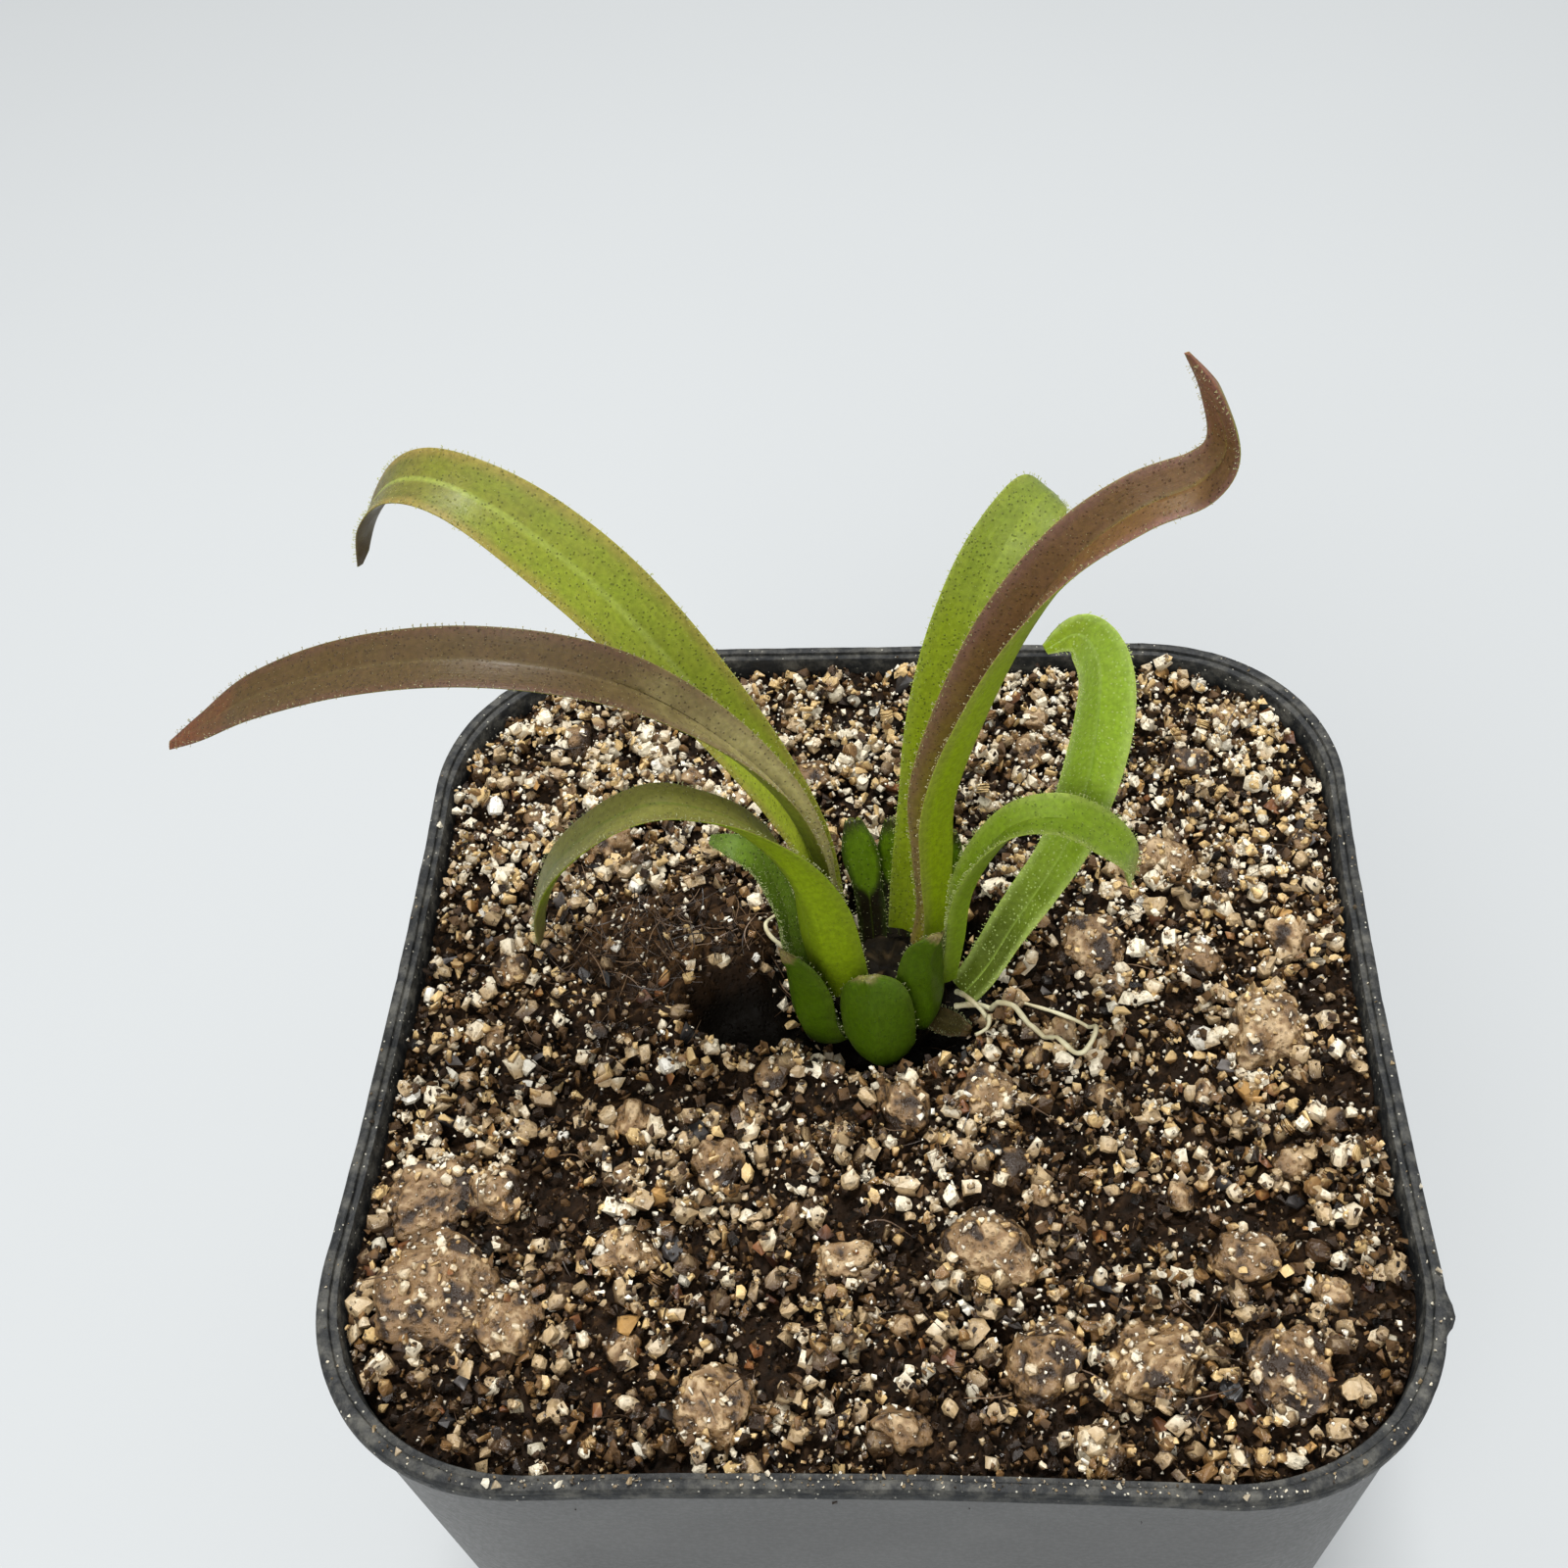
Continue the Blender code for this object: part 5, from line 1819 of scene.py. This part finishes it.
    def pebbles(self) -> list[Row]:
        """Gives the small pebbles between the larger lumps, as x, y and radius."""
        found: list[Row] = []
        while len(found) < self.pebble_count:
            x, y = self.draw.uniform(-34, 34), self.draw.uniform(-34, 34)
            radius = self.draw.uniform(0.9, 1.5)
            apart = [math.dist((x, y), other[:2]) - other[2] - radius
                     for other in (*PUMICE, *found)]
            crown = math.hypot(x - CROWN.x, y - CROWN.y)
            bare = self.on_mound(x, y) + self.in_hollow(x, y)
            if (self.inside(x, y, radius) and min(apart) > 0.4 and bare < 0.1
                    and crown > self.dish_radius + 3):
                found.append((x, y, radius))
        return found

    def build_lumps(self) -> bpy.types.Object:
        """Builds the pumice lumps as one piece, with their pores, and returns it."""
        work = bmesh.new()
        tone = work.verts.layers.float.new("tone")
        for x, y, radius in (*PUMICE, *self.pebbles()):
            fineness = 3 if radius < 1.6 else 5 if radius > 2.6 else 4
            fresh = bmesh.ops.create_icosphere(work, subdivisions=fineness,
                                               radius=radius)["verts"]
            shift = Vector([self.draw.uniform(0, 40) for _ in range(3)])
            shade = self.draw.uniform(0.12, 0.55)
            breaks = [(Vector([self.draw.gauss(0, 1) for _ in range(3)]).normalized(),
                       radius * self.draw.uniform(0.62, 0.95)) for _ in range(9)]
            for vert in fresh:
                way = vert.co.normalized()
                vert.co *= 1 + 0.25 * noise.noise(way * 1.7 + shift)
                for facing, reach in breaks:
                    past = vert.co.dot(facing) - reach
                    if past > 0:
                        vert.co -= facing * past * 0.8
                knob = noise.noise(vert.co * 0.9 + shift)
                pore = noise.voronoi(vert.co * 2.4 + shift)[0][0]
                pit = max(0.0, 0.26 - pore) / 0.26
                fine = noise.noise(vert.co * 3.8 + shift)
                rough = noise.noise(vert.co * 1.9 - shift)
                vert.co += way * (0.26 * knob + 0.2 * rough + 0.09 * fine - 0.16 * pit)
                # Painted light and shade: lighter on the bumps and the top, darker in the pores,
                # the dips and underneath. The stains and each lump's own tone are real.
                stain = min(0.0, noise.noise(vert.co * 0.55 - shift) + 0.05)
                shown = shade + 0.5 * knob + 0.55 * rough + 0.3 * fine - 0.5 * pit
                shown += 0.3 * way.z + 1.6 * stain
                vert[tone] = clip(shown)
            stretch = (self.draw.uniform(0.85, 1.15), self.draw.uniform(0.85, 1.1),
                       self.draw.uniform(0.65, 0.85))
            bmesh.ops.scale(work, verts=fresh, vec=stretch)
            turn = Matrix.Rotation(self.draw.uniform(0, math.tau), 3, "Z")
            bmesh.ops.rotate(work, verts=fresh, matrix=turn)
            spot = (x, y, self.height(x, y) - 0.12 * radius)
            bmesh.ops.translate(work, verts=fresh, vec=spot)
        return self.finish("pumice_lumps", work, PUMICE_FINISH, 180)

    def read_heights(self, things: list[bpy.types.Object]) -> None:
        """Fills the raster with the heights of the ground and the lumps, in millimetres.

        Args:
            things: the ground and the lumps.
        """
        graph = bpy.context.evaluated_depsgraph_get()
        trees = [BVHTree.FromObject(thing, graph) for thing in things]
        down = Vector((0, 0, -1))
        for row in range(self.size):
            y = (row + 0.5) * self.pixel - self.pot.width / 2
            for column in range(self.size):
                x = (column + 0.5) * self.pixel - self.pot.width / 2
                best = self.height(x, y) - 0.5
                for number, tree in enumerate(trees):
                    hit = tree.ray_cast(Vector((x, y, 100.0)) * MM, down)[0]
                    if hit is not None and hit.z / MM > best:
                        best = hit.z / MM
                        self.on_lump[row, column] = number == 1
                self.heights[row, column] = best

    def window(self, x: float, y: float, radius: float) -> tuple[slice, slice, np.ndarray]:
        """Gives the raster's cells under a round grain.

        Args:
            x, y: the grain's place.
            radius: its radius.

        Returns:
            The rows, the columns, and each cell's squared distance over the radius squared.
        """
        row, column = self.cell(x, y)
        reach = max(1, round(radius / self.pixel))
        rows = slice(max(0, row - reach), min(self.size, row + reach + 1))
        columns = slice(max(0, column - reach), min(self.size, column + reach + 1))
        down = (np.arange(rows.start, rows.stop) - row)[:, None]
        over = (np.arange(columns.start, columns.stop) - column)[None, :]
        return rows, columns, (down ** 2 + over ** 2) / float(reach * reach)

    def settle(self, x: float, y: float, radius: float, sink: float) -> float:
        """Rests a grain on what lies there, and adds it to the raster.

        Args:
            x, y: its place.
            radius: its radius.
            sink: how much of the radius sinks in.

        Returns:
            The height of its middle.
        """
        rows, columns, apart = self.window(x, y, radius)
        under = self.heights[rows, columns]
        covered = apart <= 1
        z = float(under[covered].mean()) + radius * (1 - sink)
        top = z + radius * 0.8 * np.sqrt(np.clip(1 - apart, 0, 1))
        self.heights[rows, columns] = np.where(covered, np.maximum(under, top), under)
        return z

    def lies_on_lump(self, x: float, y: float) -> bool:
        """Tells whether a place lies on one of the lumps.

        Args:
            x, y: the place.

        Returns:
            Whether it does.
        """
        return bool(self.on_lump[self.cell(x, y)])

    def rest(self, x: float, y: float, radius: float) -> float:
        """How high anything lies under a round place.

        Args:
            x, y: its middle.
            radius: its radius.

        Returns:
            The greatest height there, in millimetres.
        """
        rows, columns, apart = self.window(x, y, radius)
        return float(self.heights[rows, columns][apart <= 1].max())

    def bareness(self, x: float, y: float) -> float:
        """How likely a place is bare peat, on the mound or in one of the dark patches.

        Args:
            x, y: the place.

        Returns:
            A share from 0 to 1.
        """
        dark = sum(max(0.0, noise.noise(Vector((x, y, level)) * fineness) * strength - least)
                   for level, fineness, strength, least in self.dark_patches)
        # Fewer bare patches towards the back, so that the back looks lighter: painted light.
        dark *= min(1.0, max(0.35, (24 - y) / 28))
        return min(0.97, 1.1 * self.on_mound(x, y) + dark)

    def spot(self, radius: float, tries: int, peat: float) -> Pair | None:
        """Chooses the lowest of a few free places.

        Args:
            radius: the grain's radius.
            tries: how many places are looked at.
            peat: how likely the grain is on the peat mound and in dark patches, 0 to 1.

        Returns:
            The place, or None where none was free.
        """
        reach = self.pot.width / 2
        best = None
        for _ in range(tries):
            x, y = self.draw.uniform(-reach, reach), self.draw.uniform(-reach, reach)
            if not self.inside(x, y, radius * 0.6):
                continue
            crown = math.hypot(x - CROWN.x, y - CROWN.y)
            if crown < self.dish_radius - 0.6 or self.in_hollow(x, y) > 0.3:
                continue
            if crown < self.dish_radius + 1.4 and self.draw.random() < 0.45:
                continue
            if self.draw.random() < self.bareness(x, y) * (1 - peat):
                continue
            if self.lies_on_lump(x, y) and (
                    radius > 0.45 or peat == 1 or self.draw.random() < 0.3):
                continue
            z = float(self.heights[self.cell(x, y)])
            if best is None or z < best[2]:
                best = (x, y, z)
        return None if best is None else best[:2]

    def chip_shape(self, flat: float, points: int) -> Work:
        """Makes a chip with flat facets, about 1 across.

        Args:
            flat: its height over its width.
            points: how many points it is the hull of.

        Returns:
            The chip.
        """
        work = bmesh.new()
        for _ in range(points):
            way = Vector([self.draw.gauss(0, 1) for _ in range(3)]).normalized() * 0.5
            box = Vector([max(-0.4, min(0.4, part * 1.25)) for part in way])
            work.verts.new((box.x, box.y * self.draw.uniform(0.8, 1.0), box.z * flat))
        hull = bmesh.ops.convex_hull(work, input=work.verts)
        loose = [part for part in hull["geom_interior"] if isinstance(part, bmesh.types.BMVert)]
        bmesh.ops.delete(work, geom=loose, context="VERTS")
        bmesh.ops.recalc_face_normals(work, faces=work.faces)
        return work

    def block_shape(self, flat: float) -> Work:
        """Makes a blocky grain with dented faces, about 1 across.

        Args:
            flat: its height over its width.

        Returns:
            The grain.
        """
        work = bmesh.new()
        bmesh.ops.create_cube(work, size=0.86)
        bmesh.ops.subdivide_edges(work, edges=work.edges, cuts=1, use_grid_fill=True)
        shift = Vector([self.draw.uniform(0, 40) for _ in range(3)])
        for vert in work.verts:
            dent = noise.noise(vert.co * 2.1 + shift)
            vert.co = vert.co.lerp(vert.co.normalized() * 0.52, 0.62) * (1.0 + 0.45 * dent)
            vert.co.z *= flat
        return work

    def layered_shape(self) -> Work:
        """A stack of thin plates, as a grain of expanded mica has."""
        work = bmesh.new()
        for k in range(4):
            fresh = bmesh.ops.create_cone(work, cap_ends=True, segments=6, radius1=0.44,
                                          radius2=0.44, depth=0.09)["verts"]
            for vert in fresh:
                vert.co.xy *= self.draw.uniform(0.85, 1.1)
            bmesh.ops.rotate(work, verts=fresh, matrix=Euler(
                (self.draw.uniform(-0.12, 0.12), self.draw.uniform(-0.12, 0.12), 0.2 * k)
            ).to_matrix())
            bmesh.ops.translate(work, verts=fresh, vec=(self.draw.uniform(-0.05, 0.05), 0,
                                                        (k - 1.5) * 0.14))
        return work

    def any_turn(self) -> Matrix:
        """Draws a turn in any direction, as a 4 by 4 matrix."""
        return Euler([self.draw.uniform(0, math.tau) for _ in range(3)]).to_matrix().to_4x4()

    def drop_copy(self, scatter: Scatter, shapes: list[int], spot: Row, turn: Matrix,
                  size: float) -> None:
        """Places one of a few shapes, in a tone of its own.

        Args:
            scatter: what gathers them.
            shapes: the shapes' numbers there.
            spot: the place.
            turn: how it is turned.
            size: its size.
        """
        scatter.put(self.draw.choice(shapes), Matrix.Translation(spot) @ turn
                    @ Matrix.Scale(size, 4), self.draw.random())

    def grain_shapes(self, scatter: Scatter, kind: GrainKind) -> list[int]:
        """Makes the shapes that the grains of one sort are copies of.

        Args:
            scatter: what gathers the grains.
            kind: their sort.

        Returns:
            The shapes' numbers there.
        """
        flat = GRAINS[kind].flatness
        points = 8 if kind is GrainKind.SAND else 12
        shapes = [scatter.add_shape(self.chip_shape(flat, points)) for _ in range(7)]
        if kind in (GrainKind.GRIT, GrainKind.PERLITE):
            shapes += [scatter.add_shape(self.block_shape(flat)) for _ in range(8)]
        if kind is GrainKind.VERMICULITE:
            shapes += [scatter.add_shape(self.layered_shape())]
        return shapes

    def drop_grain(self, scatter: Scatter, shapes: list[int], sort: GrainSort) -> bool:
        """Drops one grain into the bed.

        Args:
            scatter: what gathers the grains.
            shapes: the shapes' numbers there.
            sort: the grain's sort.

        Returns:
            Whether it found a free place.
        """
        small, large = sort.sizes
        size = small + (large - small) * self.draw.random() ** self.grain_skew
        place = self.spot(size / 2, 1, sort.peat)
        if place is None:
            return False
        lumpy = self.lies_on_lump(*place)
        z = self.settle(*place, size / 2, self.lump_sink if lumpy else sort.sink)
        turn = Euler((self.draw.gauss(0, self.grain_tilt), self.draw.gauss(0, self.grain_tilt),
                      self.draw.uniform(0, math.tau))).to_matrix().to_4x4()
        spread = Matrix.Diagonal((size * self.draw.uniform(*self.grain_length),
                                  size * self.draw.uniform(*self.grain_width), size, 1.0))
        patch = noise.noise(Vector((*place, 80)) * 0.22)
        # Tone varies at random in patches; grains towards the back are lighter, painted light
        # where more light falls.
        tone = self.draw.gauss(0.46 + 0.35 * patch + 0.008 * place[1], 0.3)
        if lumpy:
            tone = max(tone, 0.5)
        scatter.put(self.draw.choice(shapes), Matrix.Translation((*place, z)) @ turn @ spread,
                    tone)
        return True

    def scatter_grains(self) -> None:
        """Drops the grains, sort by sort, into the bed."""
        for kind, sort in GRAINS.items():
            scatter = Scatter(self.grain_top_light)
            shapes = self.grain_shapes(scatter, kind)
            placed = [self.drop_grain(scatter, shapes, sort) for _ in range(sort.count)]
            LOG.info("%s: %d placed", kind.value, sum(placed))
            self.finish(kind.value + "_grains", scatter.close(), sort.finish, None)

    def scatter_crumbs(self, name: str, count: int) -> None:
        """Drops dark crumbs of peat.

        Args:
            name: the piece's name.
            count: how many are dropped.
        """
        scatter = Scatter(self.crumb_top_light)
        shapes = [scatter.add_shape(self.chip_shape(0.8, 8)) for _ in range(6)]
        for _ in range(count):
            size = self.crumb_least + self.crumb_more * self.draw.random() ** self.crumb_skew
            place = self.spot(size / 2, 2, 1.0)
            if place is None:
                continue
            z = self.settle(*place, size / 2, self.crumb_sink)
            self.drop_copy(scatter, shapes, (*place, z), self.any_turn(), size)
        self.finish(name, scatter.close(), CRUMB_FINISH, 50)

    def fibre_shape(self) -> Work:
        """A thin bent strand, about 1 long."""
        work = bmesh.new()
        bend = [self.draw.uniform(-0.22, 0.22) for _ in range(4)]
        course = [Vector((t - 0.5, bend[0] * math.sin(math.pi * t) + bend[1] * t * t,
                          bend[2] * math.sin(math.pi * t * 1.4) * 0.5))
                  for t in (k / 7 for k in range(8))]
        tube(work, course, [0.016 * (1 - 0.5 * abs(k / 3.5 - 1)) for k in range(8)], 3)
        return work

    def scatter_fibres(self) -> None:
        """Lays rootlets and fibres of peat over the bed, closest together on the mound."""
        scatter = Scatter()
        shapes = [scatter.add_shape(self.fibre_shape()) for _ in range(10)]
        for k in range(self.fibre_count):
            if k % 3:
                x, y = (self.draw.gauss(*spread) for spread in self.mound_fibres)
            else:
                x, y = (self.draw.uniform(-self.fibre_reach, self.fibre_reach) for _ in range(2))
            length = self.draw.uniform(*self.fibre_lengths)
            if not self.inside(x, y, length / 2) or self.in_hollow(x, y) > 0.12:
                continue
            z = float(self.heights[self.cell(x, y)]) + self.draw.uniform(-0.1, 0.25)
            turn = Euler((self.draw.uniform(0, math.tau), self.draw.gauss(0, 0.18),
                          self.draw.uniform(0, math.tau))).to_matrix().to_4x4()
            self.drop_copy(scatter, shapes, (x, y, z), turn, length)
        self.finish("peat_fibres", scatter.close(), FIBRE_FINISH, 60)

    def scatter_grit(self) -> None:
        """Leaves the grains that lie on the rim, most of them along the front."""
        scatter = Scatter()
        shapes = [scatter.add_shape(self.chip_shape(0.8, 9)) for _ in range(6)]
        for k in range(self.rim_count):
            place = self.draw.gauss(0.75, 0.09) if k % 4 else self.draw.random()
            x, y = self.pot.rim_point(place)
            inward = self.draw.uniform(0.2, 1.2)
            share = 1 - inward / math.hypot(x, y)
            size = self.draw.uniform(0.1, 0.3) if k % 14 else self.draw.uniform(0.4, 0.75)
            base = POT_TOP - (0.0 if inward < 0.8 else self.pot.step_drop)
            spot = Vector((x * share, y * share, base + size * 0.3))
            self.drop_copy(scatter, shapes, spot, self.any_turn(), size)
        straight = self.pot.width / 2 - self.pot.corner
        around = 4 * (2 * straight + self.pot.corner * math.pi / 2)
        for x, z, size in self.wall_specks:
            near = Vector(self.pot.rim_point(0.75 + x / around))
            near *= self.pot.wall_half(z) / (self.pot.width / 2)
            tall = Matrix.Diagonal((size * 0.6, size * 0.5, size, 1.0))
            scatter.put(self.draw.choice(shapes),
                        Matrix.Translation((near.x, near.y - 0.02, z)) @ tall, 0.0)
        self.finish("rim_grit", scatter.close(), RIM_FINISH, None)


# Studio


@dataclass
class Studio:
    """The pale floor, the soft lights and the camera."""

    floor_colour: Colour = tint(184, 187, 188)
    floor_half: float = 3.0
    floor_roughness: float = 0.75
    sky: float = 0.62
    sky_colour: Colour = (0.98, 0.99, 1.0, 1.0)
    sensor: float = 36.0
    clip_range: Pair = (0.001, 20.0)
    lens: float = 43.713
    place: tuple[float, float, float] = (5.59, -83.12, 190.86)
    turn: tuple[float, float, float] = (42.402, 3.025, 2.001)
    shift: float = -50 / 1600

    def build(self) -> None:
        """Builds the floor, the lights, the surroundings and the camera."""
        self.build_floor()
        self.add_light("overhead", (-0.02, 0.2, 0.72), 0.14, 4.2)
        self.add_light("fill", (-0.15, -0.5, 0.55), 0.4, 3.0)
        world = bpy.data.worlds.new("studio")
        world.use_nodes = True
        back = world.node_tree.nodes["Background"]
        back.inputs["Color"].default_value = self.sky_colour
        back.inputs["Strength"].default_value = self.sky
        bpy.context.scene.world = world
        bpy.context.scene.view_settings.view_transform = "Standard"
        self.add_camera()

    def build_floor(self) -> None:
        """The plain floor that the pot stands on."""
        work = bmesh.new()
        bmesh.ops.create_grid(work, x_segments=2, y_segments=2, size=self.floor_half)
        mesh = take_mesh("floor", work)
        made, sheet, shader = new_finish("studio_floor")
        soft = sheet.noise(sheet.place(), 9.0, 2.0)
        deeper = tuple(part * 0.97 for part in self.floor_colour[:3]) + (1.0,)
        sheet.feed(shader.inputs["Base Color"], sheet.mix(soft, self.floor_colour, deeper))
        shader.inputs["Roughness"].default_value = self.floor_roughness
        mesh.materials.append(made)
        floor = bpy.data.objects.new("floor", mesh)
        bpy.context.scene.collection.objects.link(floor)

    def add_light(self, name: str, place: tuple[float, float, float], size: float,
                  power: float) -> None:
        """Adds a square soft light that faces the pot.

        Args:
            name: its name.
            place: where it is, in metres.
            size: its width, in metres.
            power: its power, in watts.
        """
        lamp = bpy.data.lights.new(name, "AREA")
        lamp.size, lamp.energy = size, power
        made = bpy.data.objects.new(name, lamp)
        made.location = place
        aim = Vector((0, 0, POT_TOP * MM)) - Vector(place)
        made.rotation_euler = aim.to_track_quat("-Z", "Y").to_euler()
        bpy.context.scene.collection.objects.link(made)

    def add_camera(self) -> None:
        """Adds the camera at the photograph's angle."""
        data = bpy.data.cameras.new("camera")
        data.lens, data.sensor_width, data.shift_x = self.lens, self.sensor, self.shift
        data.clip_start, data.clip_end = self.clip_range
        camera = bpy.data.objects.new("camera", data)
        camera.location = Vector(self.place) * MM
        camera.rotation_euler = [math.radians(part) for part in self.turn]
        bpy.context.scene.collection.objects.link(camera)
        bpy.context.scene.camera = camera


def main() -> None:
    """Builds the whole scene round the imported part."""
    logging.basicConfig(level=logging.INFO, format="%(name)s: %(message)s")
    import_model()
    effects = Effects()
    pot = NurseryPot(effects)
    pot.build()
    bed = SoilBed(effects, pot)
    bed.build()
    Rosette(effects, bed).build()
    Studio().build()


if __name__ == "__main__":
    main()
